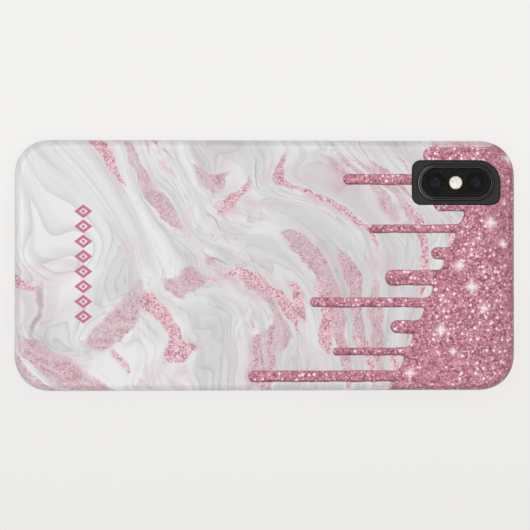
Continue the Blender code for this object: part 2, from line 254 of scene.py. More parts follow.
def case_outline(inset):
    """The case's outline, moved inwards by inset."""
    case = bpy.context.scene.phone_case
    half = (HALF_LENGTH - inset, HALF_WIDTH - inset)
    reach = max(case.corner_reach - inset, 0.004)
    return rectangle((-half[0], -half[1]), half, [reach] * 4, CORNER_STEPS, case.corner_power)


def camera_outline(grow=0.0):
    """The camera opening. Only its outer corner, by the case's own, is large."""
    low = (CAMERA_LOW.x - grow, CAMERA_LOW.y - grow)
    high = (CAMERA_HIGH.x + grow, CAMERA_HIGH.y + grow)
    small = CAMERA_CORNER + grow
    return rectangle(low, high, [CAMERA_OUTER_CORNER + grow, small, small, small], 14)


def guard_pill(grow=0.0, steps=24):
    return pill((GUARD.x, GUARD.y), BEZEL_LENGTH, BEZEL_WIDTH, grow, steps)


def notch_outline(span, margin=0.0, low=-CUT_PAST):
    """A notch or its pad, seen from the side. It runs down past the rim, and margin makes it smaller."""
    radius = NOTCH_RADIUS - margin / 2
    radii = [radius, radius, NOTCH_FOOT_RADIUS, NOTCH_FOOT_RADIUS]
    return rectangle((span[0] + margin, low), (span[1] - margin, NOTCH_TOP - margin), radii, 8)


def flat(outline, z):
    """A ring parallel to the back."""
    return [Vector((u, v, z)) for u, v in outline]


def on_side(outline, y):
    """A ring parallel to a long side: u runs along X and v up."""
    return [Vector((u, y, v)) for u, v in outline]


def on_end(outline, x):
    """A ring parallel to an end: u runs along Y and v up."""
    return [Vector((x, u, v)) for u, v in outline]


def quarter_turn(steps=EDGE_STEPS):
    """(sine, cosine) pairs over a right angle, for a rounded edge."""
    angles = [math.pi / 2 * step / steps for step in range(steps + 1)]
    return [(math.sin(angle), math.cos(angle)) for angle in angles]


def rounded(edge):
    """(aside, down) pairs over a rounded edge, from its outer side up to its top."""
    return [(edge * (1 - cosine), edge * (1 - sine)) for sine, cosine in quarter_turn()]


def skin(name, rings, endless=False):
    """A closed skin through rings of equally many points, capped at both ends unless it is endless."""
    mesh = bmesh.new()
    loops = [[mesh.verts.new(point) for point in ring] for ring in rings]
    joined = list(zip(loops, loops[1:]))
    if endless:
        joined.append((loops[-1], loops[0]))
    else:
        mesh.faces.new(loops[0])
        mesh.faces.new(loops[-1])
    for first, second in joined:
        count = len(first)
        for k in range(count):
            mesh.faces.new((first[k], first[(k + 1) % count], second[(k + 1) % count], second[k]))
    bmesh.ops.recalc_face_normals(mesh, faces=mesh.faces[:])
    data = bpy.data.meshes.new(name)
    mesh.to_mesh(data)
    mesh.free()
    made = bpy.data.objects.new(name, data)
    bpy.context.scene.collection.objects.link(made)
    return made


def coat(obj, material):
    obj.data.materials.append(material)
    return obj


def cut_and_join(obj, cutters=(), blocks=()):
    """Joins blocks to obj, takes cutters out of it and keeps each one's material on the faces it leaves."""
    for operation, others in (("UNION", blocks), ("DIFFERENCE", cutters)):
        for other in others:
            step = obj.modifiers.new(other.name, "BOOLEAN")
            step.operation = operation
            step.solver = "EXACT"
            step.material_mode = "TRANSFER"
            step.object = other
    graph = bpy.context.evaluated_depsgraph_get()
    result = bpy.data.meshes.new_from_object(obj.evaluated_get(graph), depsgraph=graph)
    obj.modifiers.clear()
    obj.data = result
    for other in (*cutters, *blocks):
        bpy.data.objects.remove(other)
    return obj


def place_piece(obj, body, node=None, sharp_over=32.0):
    """Shades a finished piece and hangs it on its body."""
    obj.data.shade_smooth()
    obj.data.set_sharp_from_angle(angle=math.radians(sharp_over))
    weighted = obj.modifiers.new("even_shading", "WEIGHTED_NORMAL")
    weighted.keep_sharp = True
    weighted.weight = 80
    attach(obj, body)
    if node:
        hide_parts(node)
    return obj


# Materials


def feed(tree, socket, value):
    """Sets a socket, or links it if the value is another node's output."""
    if isinstance(value, bpy.types.NodeSocket):
        tree.links.new(value, socket)
    else:
        socket.default_value = value


def add(tree, kind, inputs=None, **settings):
    """A new node with its settings and inputs filled in."""
    made = tree.nodes.new(kind)
    for name, value in settings.items():
        setattr(made, name, value)
    fill(tree, made, inputs or {})
    return made


def maths(tree, operation, *values, clamp=False):
    made = tree.nodes.new("ShaderNodeMath")
    made.operation = operation
    made.use_clamp = clamp
    for socket, value in zip(made.inputs, values):
        feed(tree, socket, value)
    return made.outputs[0]


def vectors(tree, operation, *values):
    made = tree.nodes.new("ShaderNodeVectorMath")
    made.operation = operation
    for socket, value in zip(made.inputs, values):
        feed(tree, socket, value)
    return made.outputs[0]


def object_place(tree):
    return add(tree, "ShaderNodeTexCoord").outputs["Object"]


def xyz(tree, vector):
    """A vector's parts, by their letters."""
    return add(tree, "ShaderNodeSeparateXYZ", {0: vector}).outputs


def fill(tree, made, inputs):
    """Fills a node's inputs by their names."""
    for key, value in inputs.items():
        feed(tree, made.inputs[key], value)


def smooth_step(tree, value, low, high, to_low=0.0, to_high=1.0):
    """A soft change from to_low to to_high as value goes from low to high."""
    ranges = {"Value": value, "From Min": low, "From Max": high, "To Min": to_low, "To Max": to_high}
    return add(tree, "ShaderNodeMapRange", ranges, interpolation_type="SMOOTHSTEP").outputs[0]


def mix(tree, factor, first, second):
    made = add(tree, "ShaderNodeMix", data_type="RGBA")
    fill(tree, made, {"Factor": factor, "A": first, "B": second})
    return made.outputs["Result"]


def noise(tree, place, scale, detail=2.0, roughness=0.5, flat_noise=True):
    kind = "2D" if flat_noise else "3D"
    inputs = {"Vector": place, "Scale": scale, "Detail": detail, "Roughness": roughness}
    return add(tree, "ShaderNodeTexNoise", inputs, noise_dimensions=kind).outputs


def ramp(tree, value, stops):
    """A colour ramp from (place, colour) stops."""
    made = add(tree, "ShaderNodeValToRGB", {"Fac": value})
    elements = made.color_ramp.elements
    while len(elements) < len(stops):
        elements.new(0.5)
    for element, (place, colour) in zip(elements, stops):
        element.position = place
        element.color = colour
    return made.outputs["Color"]


def new_group(name, inputs, outputs):
    """A node group with the given sockets, as (group, its input node, its output node)."""
    group = bpy.data.node_groups.new(name, "ShaderNodeTree")
    for label, kind, default in inputs:
        socket = group.interface.new_socket(label, in_out="INPUT", socket_type=f"NodeSocket{kind}")
        if default is not None:
            socket.default_value = default
    for label, kind in outputs:
        group.interface.new_socket(label, in_out="OUTPUT", socket_type=f"NodeSocket{kind}")
    return group, group.nodes.new("NodeGroupInput"), group.nodes.new("NodeGroupOutput")


def use(tree, group, inputs=None):
    """Places a node group in a tree."""
    made = tree.nodes.new("ShaderNodeGroup")
    made.node_tree = group
    fill(tree, made, inputs or {})
    return made.outputs


def new_material(name, **fixed):
    """A material with its Principled BSDF, as (material, tree, shader), and its uniform values set."""
    made = bpy.data.materials.new(name)
    made.use_nodes = True
    tree = made.node_tree
    shader = tree.nodes["Principled BSDF"]
    for key, value in fixed.items():
        shader.inputs[key.replace("_", " ")].default_value = value
    return made, tree, shader


def wrapped_place_group():
    """Where the print lies, in millimetres. On the sides it carries on outwards as if folded down."""
    outputs = (("Place", "Vector"), ("Across", "Float"), ("Up", "Float"), ("Depth", "Float"))
    group, _, result = new_group("wrapped_place", (), outputs)
    where = add(group, "ShaderNodeTexCoord")
    millimetres = vectors(group, "MULTIPLY", where.outputs["Object"], (1 / MM, 1 / MM, 1 / MM))
    split = xyz(group, millimetres)
    depth = maths(group, "SUBTRACT", SHELL_TOP / MM, split["Z"])
    depth = maths(group, "MAXIMUM", depth, 0.0)
    roll_in = ROLL_IN / MM
    roll_down = ROLL_DOWN / MM
    rolled = maths(group, "DIVIDE", depth, roll_down, clamp=True)
    angle = maths(group, "ARCCOSINE", maths(group, "SUBTRACT", 1.0, rolled))
    run = maths(group, "MULTIPLY", maths(group, "SINE", angle), roll_in)
    length = maths(group, "MULTIPLY", angle, (roll_in + roll_down) / 2)
    below = maths(group, "MAXIMUM", maths(group, "SUBTRACT", depth, roll_down), 0.0)
    extra = maths(group, "ADD", maths(group, "SUBTRACT", length, run), below)
    outwards = vectors(group, "MULTIPLY", where.outputs["Normal"], (1.0, 1.0, 0.0))
    outwards = vectors(group, "NORMALIZE", outwards)
    shift = add(group, "ShaderNodeVectorMath", {0: outwards, "Scale": extra}, operation="SCALE").outputs[0]
    level = add(group, "ShaderNodeCombineXYZ", {"X": split["X"], "Y": split["Y"]}).outputs[0]
    place = vectors(group, "ADD", level, shift)
    ends = xyz(group, place)
    fill(group, result, {"Place": place, "Across": ends["X"], "Up": ends["Y"], "Depth": depth})
    return group


# The middle of a noise's colour
NOISE_MIDDLE = (0.5, 0.5, 0.5)
# How far paint is stirred in wide and in small curls, and the flow's direction and size, in millimetres
WIDE_STIR = (46.0, 46.0, 0.0)
SMALL_STIR = (13.0, 13.0, 0.0)
FLOW_TURN = math.radians(-62)
FLOW_LENGTH = 46.0
FLOW_WIDTH = 9.0


def stirred(tree, place):
    """The place moved as wet paint is stirred, and its place along and across the flow."""
    wide = noise(tree, place, 0.016, detail=0.0)["Color"]
    push = vectors(tree, "MULTIPLY", vectors(tree, "SUBTRACT", wide, NOISE_MIDDLE), WIDE_STIR)
    moved = vectors(tree, "ADD", place, push)
    curl = noise(tree, moved, 0.042, detail=1.0)["Color"]
    push = vectors(tree, "MULTIPLY", vectors(tree, "SUBTRACT", curl, NOISE_MIDDLE), SMALL_STIR)
    moved = vectors(tree, "ADD", moved, push)
    # The flow runs towards the volume side and the top end, much longer than it is wide.
    turn = {"Vector": moved, "Rotation": (0.0, 0.0, FLOW_TURN), "Scale": (FLOW_LENGTH, FLOW_WIDTH, 1.0)}
    return moved, add(tree, "ShaderNodeMapping", turn, vector_type="TEXTURE").outputs[0]


# Families of veins: label, start, size along and across the flow, and half widths in millimetres, where the
# family is thinnest and where it is widest
VEIN_FAMILIES = (
    ("Bright", (8.3, 10.1, 0.0), (0.60, 0.40, 1.0), -1.0, 3.0),
    ("Soft", (9.1, 6.2, 0.0), (0.75, 0.42, 1.0), -0.9, 4.2),
    ("Faint", (5.4, 12.8, 0.0), (0.55, 0.45, 1.0), -2.0, 3.0),
    ("Hair", (14.3, 4.6, 0.0), (0.50, 0.42, 1.0), -0.20, 0.22),
)
# How far aside the noise's slope is measured, in the noise's own units, and the least slope per millimetre
SLOPE_STEP = 0.04
LEAST_SLOPE = 0.03
# The slope under which a vein starts to thin out, and the one at which it is gone
THINNING_SLOPE, FLAT_SLOPE = 0.028, 0.005


def veins_group():
    """How far inside the veins, stains and fine lines a place is, in millimetres.

    Each family is a band of one noise, laid along the flow of the marble.
    """
    outputs = tuple((family[0], "Float") for family in VEIN_FAMILIES)
    group, given, result = new_group("pink_veins", (("Place", "Vector", None),), outputs)
    moved, flow = stirred(group, given.outputs["Place"])
    for label, start, size, thinnest, widest in VEIN_FAMILIES:
        along = vectors(group, "MULTIPLY_ADD", flow, size, start)
        aside = vectors(group, "ADD", along, (0.0, SLOPE_STEP, 0.0))
        level = noise(group, along, 1.0, detail=1.0)[0]
        rise = maths(group, "SUBTRACT", noise(group, aside, 1.0, detail=1.0)[0], level)
        rise = maths(group, "ABSOLUTE", rise)
        slope = maths(group, "MULTIPLY", rise, size[1] / (SLOPE_STEP * FLOW_WIDTH))
        off = maths(group, "ABSOLUTE", maths(group, "SUBTRACT", level, 0.5))
        off = maths(group, "DIVIDE", off, maths(group, "MAXIMUM", slope, LEAST_SLOPE))
        elsewhere = vectors(group, "ADD", moved, tuple(value * 40.0 for value in start))
        gate = noise(group, elsewhere, 0.028, detail=1.0)[0]
        half = smooth_step(group, gate, 0.42, 0.64, thinnest, widest)
        # A vein thins out where the noise is flat, so it doesn't spread into a pool.
        loss = smooth_step(group, slope, FLAT_SLOPE, THINNING_SLOPE, 0.7 * widest + 0.4, 0.0)
        half = maths(group, "SUBTRACT", half, loss)
        feed(group, result.inputs[label], maths(group, "SUBTRACT", half, off))
    return group


def stepped(count, low, high, start=0.0, bend=1.0):
    """A row of sizes between low and high in which neighbours always differ."""
    return [low + (high - low) * ((start + GOLDEN_STEP * step) % 1.0) ** bend for step in range(count)]


def drips_group():
    """How far inside the poured glitter a place is, in millimetres.

    Its drips are evenly spaced and of mixed lengths.
    """
    inputs = (("Across", "Float", 0.0), ("Up", "Float", 0.0))
    group, given, result = new_group("poured_drips", inputs, (("Depth", "Float"),))
    across = given.outputs["Across"]
    up = given.outputs["Up"]
    edge = maths(group, "MULTIPLY_ADD", up, POUR_SLANT, POUR_EDGE)
    depth = maths(group, "SUBTRACT", across, edge)
    lengths = stepped(DRIP_COUNT, SHORTEST_DRIP, LONGEST_DRIP, 0.35, 1.6)
    widths = stepped(DRIP_COUNT, THINNEST_DRIP, THICKEST_DRIP, 0.8)
    for step, (length, half) in enumerate(zip(lengths, widths)):
        middle = (step - (DRIP_COUNT - 1) / 2) * DRIP_SPACING
        tip = POUR_EDGE + POUR_SLANT * middle - length
        ahead = maths(group, "MAXIMUM", maths(group, "SUBTRACT", tip + half, across), 0.0)
        aside = maths(group, "SUBTRACT", up, middle)
        squares = maths(group, "MULTIPLY_ADD", aside, aside, maths(group, "MULTIPLY", ahead, ahead))
        inside = maths(group, "SUBTRACT", half, maths(group, "SQRT", squares))
        depth = maths(group, "SMOOTH_MAX", depth, inside, DRIP_FILLET)
    feed(group, result.inputs["Depth"], depth)
    return group


def marble_group():
    """Pale marble, stirred while wet. Its bands follow the veins, and fine grey lines edge some of them."""
    inputs = (
        ("Place", "Vector", None),
        ("Veins", "Float", -20.0),
        ("Pale", "Color", srgb(231, 231, 233)),
        ("Grey", "Color", srgb(211, 211, 213)),
        ("Line", "Color", srgb(158, 156, 163)),
        ("Blush", "Color", srgb(220, 202, 210)),
    )
    group, given, result = new_group("stirred_marble", inputs, (("Color", "Color"), ("Streak", "Float")))
    place = given.outputs["Place"]
    moved, flow = stirred(group, place)
    level = noise(group, flow, 1.0, detail=1.5, roughness=0.4)[0]
    near = smooth_step(group, given.outputs["Veins"], -7.0, 0.5)
    level = maths(group, "MULTIPLY_ADD", near, 0.14, level)
    tone = smooth_step(group, level, 0.32, 0.72)
    colour = mix(group, tone, given.outputs["Grey"], given.outputs["Pale"])
    fine = noise(group, flow, 2.7, detail=3.0, roughness=0.6)[0]
    colour = mix(group, smooth_step(group, fine, 0.50, 0.74, 0.0, 0.16), colour, given.outputs["Line"])
    colour = mix(group, smooth_step(group, fine, 0.46, 0.30, 0.0, 0.35), colour, given.outputs["Pale"])
    threads = noise(group, vectors(group, "MULTIPLY", flow, (0.8, 4.5, 1.0)), 1.0, detail=2.0)[0]
    colour = mix(group, smooth_step(group, threads, 0.52, 0.70, 0.0, 0.2), colour, given.outputs["Line"])
    # Each band darkens slowly to a sharp edge, as in agate.
    saw = maths(group, "MULTIPLY_ADD", fine, 0.5, maths(group, "MULTIPLY", level, 12.0))
    saw = maths(group, "FRACT", saw)
    band = maths(group, "POWER", saw, 3.5)
    band = maths(group, "MULTIPLY", band, smooth_step(group, saw, 1.0, 0.94))
    shown = smooth_step(group, noise(group, moved, 0.055, detail=1.0)[0], 0.38, 0.60, 0.08, 1.0)
    band = maths(group, "MULTIPLY", band, shown)
    blush = noise(group, moved, 0.07, detail=2.0)[0]
    blush = smooth_step(group, blush, 0.45, 0.65, 0.0, 0.5)
    blush = maths(group, "MULTIPLY", blush, maths(group, "MULTIPLY_ADD", near, 0.7, 0.3))
    colour = mix(group, blush, colour, given.outputs["Blush"])
    colour = mix(group, maths(group, "MULTIPLY", band, 0.46), colour, given.outputs["Line"])
    streak = maths(group, "MAXIMUM", band, smooth_step(group, threads, 0.48, 0.66, 0.0, 0.75))
    fill(group, result, {"Color": colour, "Streak": streak})
    return group


def glitter_group():
    """Glitter flakes in the given colours, with brighter ones scattered among them."""
    inputs = (
        ("Place", "Vector", None),
        ("Flakes", "Float", 2.0),
        ("Sparkles", "Float", 0.55),
        ("Sparkle Size", "Float", 0.26),
        ("Dark", "Color", srgb(128, 60, 82)),
        ("Middle", "Color", srgb(184, 106, 130)),
        ("Light", "Color", srgb(222, 158, 174)),
        ("Spark", "Color", srgb(254, 230, 234)),
    )
    outputs = (("Color", "Color"), ("Spark", "Float"))
    group, given, result = new_group("glitter", inputs, outputs)
    place = given.outputs["Place"]
    flakes = {"Vector": place, "Scale": given.outputs["Flakes"], "Randomness": 1.0}
    cells = add(group, "ShaderNodeTexVoronoi", flakes, voronoi_dimensions="2D")
    split = add(group, "ShaderNodeSeparateColor", {0: cells.outputs["Color"]})
    pick = split.outputs["Red"]
    rose = smooth_step(group, pick, 0.05, 0.45)
    colour = mix(group, rose, given.outputs["Dark"], given.outputs["Middle"])
    colour = mix(group, smooth_step(group, pick, 0.6, 1.0), colour, given.outputs["Light"])
    clump = noise(group, place, 0.3, detail=3.0, roughness=0.7)[0]
    colour = mix(group, smooth_step(group, clump, 0.52, 0.72, 0.0, 0.45), colour, given.outputs["Light"])
    colour = mix(group, smooth_step(group, clump, 0.48, 0.28, 0.0, 0.45), colour, given.outputs["Dark"])
    large = {"Vector": place, "Scale": given.outputs["Sparkles"], "Randomness": 1.0}
    dots = add(group, "ShaderNodeTexVoronoi", large, voronoi_dimensions="2D")
    chosen = add(group, "ShaderNodeSeparateColor", {0: dots.outputs["Color"]}).outputs["Green"]
    gathered = noise(group, place, 0.075, detail=2.0)[0]
    gathered = smooth_step(group, gathered, 0.3, 0.7, -0.25, 0.25)
    chosen = maths(group, "ADD", chosen, gathered)
    size = maths(group, "MULTIPLY", smooth_step(group, chosen, 0.5, 1.0), given.outputs["Sparkle Size"])
    near = maths(group, "SUBTRACT", size, dots.outputs["Distance"])
    shown = smooth_step(group, chosen, 0.4, 0.55)
    spark = maths(group, "MULTIPLY", smooth_step(group, near, -0.14, 0.14), shown)
    white = maths(group, "GREATER_THAN", split.outputs["Blue"], 0.968)
    spark = maths(group, "MAXIMUM", spark, maths(group, "MULTIPLY", white, 0.6))
    colour = mix(group, spark, colour, given.outputs["Spark"])
    fill(group, result, {"Color": colour, "Spark": spark})
    return group


def moulded_grain_group():
    """The fine texture that a moulded or blasted surface has, as a normal and a roughness."""
    inputs = (
        ("Grain", "Float", 4000.0),
        ("Depth", "Float", 0.1),
        ("Roughness", "Float", 0.6),
        ("Spread", "Float", 0.1),
    )
    outputs = (("Normal", "Vector"), ("Roughness", "Float"))
    group, given, result = new_group("moulded_grain", inputs, outputs)
    where = object_place(group)
    grain = given.outputs["Grain"]
    fine = noise(group, where, grain, detail=3.0, roughness=0.6, flat_noise=False)[0]
    broad = noise(group, where, 90.0, detail=3.0, flat_noise=False)[0]
    bump = {"Strength": given.outputs["Depth"], "Distance": 0.0001, "Height": fine}
    normal = add(group, "ShaderNodeBump", bump).outputs[0]
    spread = maths(group, "MULTIPLY", maths(group, "SUBTRACT", broad, 0.5), given.outputs["Spread"])
    roughness = maths(group, "ADD", given.outputs["Roughness"], spread, clamp=True)
    fill(group, result, {"Normal": normal, "Roughness": roughness})
    return group


def star_places():
    """(across, up, reach) of each starburst, scattered over the pour."""
    along = stepped(STAR_COUNT, 2.0, 20.0, 0.1)
    reaches = stepped(STAR_COUNT, 2.2, 4.4, 0.5)
    rows = [(step + 0.5) / STAR_COUNT * STAR_ROWS - STAR_ROWS / 2 for step in range(STAR_COUNT)]
    starts = [POUR_EDGE + POUR_SLANT * up + past for past, up in zip(along, rows)]
    return list(zip(starts, rows, reaches))


def stars_group():
    """A soft glow and a cross of rays round each starburst."""
    group, given, result = new_group("starbursts", (("Place", "Vector", None),), (("Glow", "Float"),))
    total = 0.0
    for across, up, reach in star_places():
        off = xyz(group, vectors(group, "SUBTRACT", given.outputs[0], (across, up, 0.0)))
        x = maths(group, "ABSOLUTE", off["X"])
        y = maths(group, "ABSOLUTE", off["Y"])
        # The product of the two distances is small only along the two rays and at the middle.
        cross = maths(group, "MULTIPLY", x, y)
        rays = smooth_step(group, cross, 0.0, 0.2 * reach, 0.85, 0.0)
        away = maths(group, "ADD", x, y)
        fade = smooth_step(group, away, 0.1 * reach, reach, 1.0, 0.0)
        halo = smooth_step(group, away, -0.3 * reach, 1.05 * reach, 1.0, 0.0)
        glow = maths(group, "MAXIMUM", maths(group, "MULTIPLY", rays, fade), halo)
        total = maths(group, "MAXIMUM", total, glow)
    feed(group, result.inputs["Glow"], total)
    return group


def ornament_group():
    """A column of open diamonds with a dot in each, near the port end."""
    case = bpy.context.scene.phone_case
    inputs = (("Across", "Float", 0.0), ("Up", "Float", 0.0))
    group, given, result = new_group("diamond_column", inputs, (("Mask", "Float"),))
    pitch = case.ornament_length / case.ornament_count / MM
    middle = case.ornament_across / MM
    centre = case.ornament_up / MM
    up = maths(group, "SUBTRACT", given.outputs["Up"], centre)
    # Each diamond repeats the first one.
    turn = maths(group, "FRACT", maths(group, "ADD", maths(group, "DIVIDE", up, pitch), 100.0))
    y = maths(group, "MULTIPLY", maths(group, "ABSOLUTE", maths(group, "SUBTRACT", turn, 0.5)), pitch)
    x = maths(group, "ABSOLUTE", maths(group, "SUBTRACT", given.outputs["Across"], middle))
    half_width = case.ornament_width / 2 / MM
    half_height = pitch * 0.46
    slant = math.hypot(1 / half_width, 1 / half_height)
    reach = maths(group, "DIVIDE", y, half_height)
    reach = maths(group, "ADD", maths(group, "DIVIDE", x, half_width), reach)
    off = maths(group, "DIVIDE", maths(group, "SUBTRACT", reach, 1.0), slant)
    stroke = case.ornament_stroke / 2 / MM
    ring = maths(group, "SUBTRACT", stroke, maths(group, "ABSOLUTE", maths(group, "ADD", off, stroke)))
    squares = maths(group, "MULTIPLY_ADD", x, x, maths(group, "MULTIPLY", y, y))
    dot = maths(group, "SUBTRACT", stroke * 1.1, maths(group, "SQRT", squares))
    mark = smooth_step(group, maths(group, "MAXIMUM", ring, dot), -0.08, 0.08)
    ends = maths(group, "SUBTRACT", case.ornament_length / 2 / MM, maths(group, "ABSOLUTE", up))
    within = maths(group, "GREATER_THAN", ends, 0.0)
    feed(group, result.inputs["Mask"], maths(group, "MULTIPLY", mark, within))
    return group


# The glitter of the two kinds of vein
SOFT_FLAKES = {
    "Flakes": 3.0,
    "Sparkles": 1.2,
    "Sparkle Size": 0.05,
    "Dark": srgb(176, 134, 149),
    "Middle": srgb(206, 168, 180),
    "Light": srgb(224, 196, 204),
    "Spark": srgb(246, 226, 231),
}
BRIGHT_FLAKES = {
    "Flakes": 2.8,
    "Sparkles": 1.1,
    "Sparkle Size": 0.2,
    "Dark": srgb(172, 116, 134),
    "Middle": srgb(222, 176, 189),
    "Light": srgb(240, 210, 218),
    "Spark": srgb(254, 238, 241),
}
# How far the edges of the veins and of the drips wander, in millimetres
VEIN_WANDER = (3.0, 3.0, 0.0)
DRIP_WANDER = (0.6, 0.6, 0.0)
# How far aside the glitter's depth is compared, to tell a drip's upper edge from its lower one
LOOK_ASIDE = 0.45


def veined_marble(tree, where, ripple, glitter):
    """The marble with its stains, its veins of glitter and its fine lines."""
    case = bpy.context.scene.phone_case
    place = where["Place"]
    wandering = vectors(tree, "ADD", place, vectors(tree, "MULTIPLY", ripple, VEIN_WANDER))
    veins = use(tree, veins_group(), {"Place": wandering})
    nearest = maths(tree, "MAXIMUM", veins["Bright"], veins["Soft"])
    given = {"Place": place, "Veins": nearest, "Pale": case.marble_pale, "Grey": case.marble_grey}
    marble = use(tree, marble_group(), given)
    # The marble is a little greyer towards the top end.
    greyer = smooth_step(tree, where["Across"], -45.0, 15.0, 0.0, 0.13)
    colour = mix(tree, greyer, marble["Color"], srgb(150, 146, 152))

    # Pale stains where pink has bled into the marble
    bleed = noise(tree, wandering, 0.09, detail=3.0)[0]
    stain = smooth_step(tree, veins["Faint"], -1.5, 2.0)
    stain = maths(tree, "MULTIPLY", stain, smooth_step(tree, bleed, 0.40, 0.65, 0.05, 0.6))
    colour = mix(tree, stain, colour, srgb(214, 184, 194))

    # A vein's edge is crisp in some places and fades over a millimetre or two in others.
    spread = noise(tree, place, 0.06, detail=1.0)[0]
    spread = smooth_step(tree, spread, 0.38, 0.62, 0.3, 1.3)
    soft = smooth_step(tree, maths(tree, "DIVIDE", veins["Soft"], spread), -1.0, 1.0)
    worn = noise(tree, wandering, 0.13, detail=4.0, roughness=0.6)[0]
    cover = smooth_step(tree, worn, 0.32, 0.52, 0.68, 1.0)
    cover = maths(tree, "MULTIPLY", cover, maths(tree, "MULTIPLY_ADD", marble["Streak"], -0.7, 1.0))
    flakes = use(tree, glitter, {"Place": place, **SOFT_FLAKES})["Color"]
    colour = mix(tree, maths(tree, "MULTIPLY", soft, cover), colour, flakes)
    spread = maths(tree, "MULTIPLY", spread, 0.5)
    bright = smooth_step(tree, maths(tree, "DIVIDE", veins["Bright"], spread), -1.0, 1.0)
    flakes = use(tree, glitter, {"Place": place, **BRIGHT_FLAKES})["Color"]
    colour = mix(tree, bright, colour, flakes)

    hair = smooth_step(tree, veins["Hair"], -0.30, -0.02)
    hair = maths(tree, "MULTIPLY", hair, smooth_step(tree, bleed, 0.36, 0.60, 0.12, 0.75))
    return mix(tree, hair, colour, srgb(172, 156, 167))


def poured_glitter(tree, where, ripple, glitter):
    """The colour of the poured glitter, and how far inside it a place is, in millimetres."""
    case = bpy.context.scene.phone_case
    place = where["Place"]
    near = xyz(tree, vectors(tree, "ADD", place, vectors(tree, "MULTIPLY", ripple, DRIP_WANDER)))
    drips = drips_group()
    depth = use(tree, drips, {"Across": near["X"], "Up": near["Y"]})["Depth"]
    above = maths(tree, "ADD", near["Y"], LOOK_ASIDE)
    higher = use(tree, drips, {"Across": near["X"], "Up": above})["Depth"]
    flakes = {"Dark": case.glitter_dark, "Middle": case.glitter_middle, "Light": case.glitter_light}
    colour = use(tree, glitter, {"Place": place, **flakes})["Color"]
    # The glitter is deeper in colour towards the top end, and darker over the rolled edge with painted shade.
    deeper = smooth_step(tree, where["Across"], 66.0, 82.0, 0.0, 0.3)
    # Painted shade where the edge rolls away from the back.
    rolled = smooth_step(tree, where["Depth"], 0.15, 1.3, 0.0, 0.45)
    colour = mix(tree, maths(tree, "MAXIMUM", deeper, rolled), colour, srgb(120, 46, 72))
    # Each drip is drawn round: dark along its lower edge, lighter along its upper one.
    lean = maths(tree, "MULTIPLY", maths(tree, "SUBTRACT", higher, depth), 1 / LOOK_ASIDE)
    rim = smooth_step(tree, depth, 0.0, 1.1, 1.0, 0.0)
    under = maths(tree, "MULTIPLY", smooth_step(tree, lean, -0.2, 1.0), rim)
    over = maths(tree, "MULTIPLY", smooth_step(tree, lean, 0.2, -1.0), rim)
    colour = mix(tree, maths(tree, "MULTIPLY", under, 0.7), colour, srgb(110, 46, 68))
    colour = mix(tree, maths(tree, "MULTIPLY", over, 0.2), colour, srgb(222, 150, 170))
    outline = smooth_step(tree, depth, 0.05, 0.5, 0.45, 0.0)
    return mix(tree, outline, colour, srgb(124, 58, 80)), depth


def printed_material():
    """Glossy hard plastic with the marble, veins, drips and ornament printed on it, and painted shade over
    its rolled edge.
    """
    case = bpy.context.scene.phone_case
    made, tree, shader = new_material(
        "printed_shell", Specular_IOR_Level=0.35, Coat_Weight=0.25, Coat_Roughness=0.12
    )
    where = use(tree, wrapped_place_group())
    place = where["Place"]
    # The paint has run a little, so edges wander.
    ripple = noise(tree, place, 0.16, detail=2.0, roughness=0.5)["Color"]
    ripple = vectors(tree, "SUBTRACT", ripple, NOISE_MIDDLE)
    glitter = glitter_group()
    colour = veined_marble(tree, where, ripple, glitter)
    mark = use(tree, ornament_group(), {"Across": where["Across"], "Up": where["Up"]})["Mask"]
    colour = mix(tree, mark, colour, case.ornament_colour)
    poured, depth = poured_glitter(tree, where, ripple, glitter)
    colour = mix(tree, smooth_step(tree, depth, -0.08, 0.08), colour, poured)
    glow = use(tree, stars_group(), {"Place": place})["Glow"]
    grain = maths(tree, "ADD", noise(tree, place, 2.2, detail=1.0)[0], glow)
    glow = maths(tree, "MULTIPLY", glow, smooth_step(tree, grain, 0.45, 1.0, 0.35, 1.0))
    colour = mix(tree, glow, colour, srgb(255, 240, 242))
    # The print greys down the rolled edge and the side: painted shade of the edge as it turns away, and
    # thinner print there as well.
    thin = smooth_step(tree, where["Depth"], 1.3, 3.2, 0.0, 0.22)
    colour = mix(tree, thin, colour, srgb(112, 104, 110))

    smear = noise(tree, place, 0.05, detail=4.0)[0]
    roughness = smooth_step(tree, smear, 0.3, 0.7, 0.30, 0.38)
    orange_peel = noise(tree, place, 0.7, detail=1.0)[0]
    bump = {"Strength": 0.05, "Distance": 0.00005, "Height": orange_peel}
    normal = add(tree, "ShaderNodeBump", bump).outputs[0]
    fill(tree, shader, {"Base Color": colour, "Roughness": roughness, "Normal": normal})
    return made


def bare_shell_material(grain):
    """The shell's own white plastic, where it is cut through or not printed."""
    made, tree, shader = new_material("bare_shell", Specular_IOR_Level=0.4)
    tint = noise(tree, object_place(tree), 400.0, detail=2.0, flat_noise=False)[0]
    colour = mix(tree, tint, srgb(206, 206, 208), srgb(226, 226, 228))
    surface = use(tree, grain, {"Grain": 5000.0, "Depth": 0.08, "Roughness": 0.42, "Spread": 0.1})
    fill(tree, shader, {"Base Color": colour, **dict(surface.items())})
    return made


def black_material(name, grain, colours, surface, specular=0.25):
    """A black finish whose tone varies a little between two colours."""
    made, tree, shader = new_material(name, Specular_IOR_Level=specular)
    tint = noise(tree, object_place(tree), 260.0, detail=4.0, flat_noise=False)[0]
    texture = use(tree, grain, surface)
    fill(tree, shader, {"Base Color": mix(tree, tint, *colours), **dict(texture.items())})
    return made


# Where the painted highlight on the bezel's edges is brightest and where it has faded, towards the port end
# from its middle
HIGHLIGHT_START, HIGHLIGHT_END = 0.0105, 0.0065


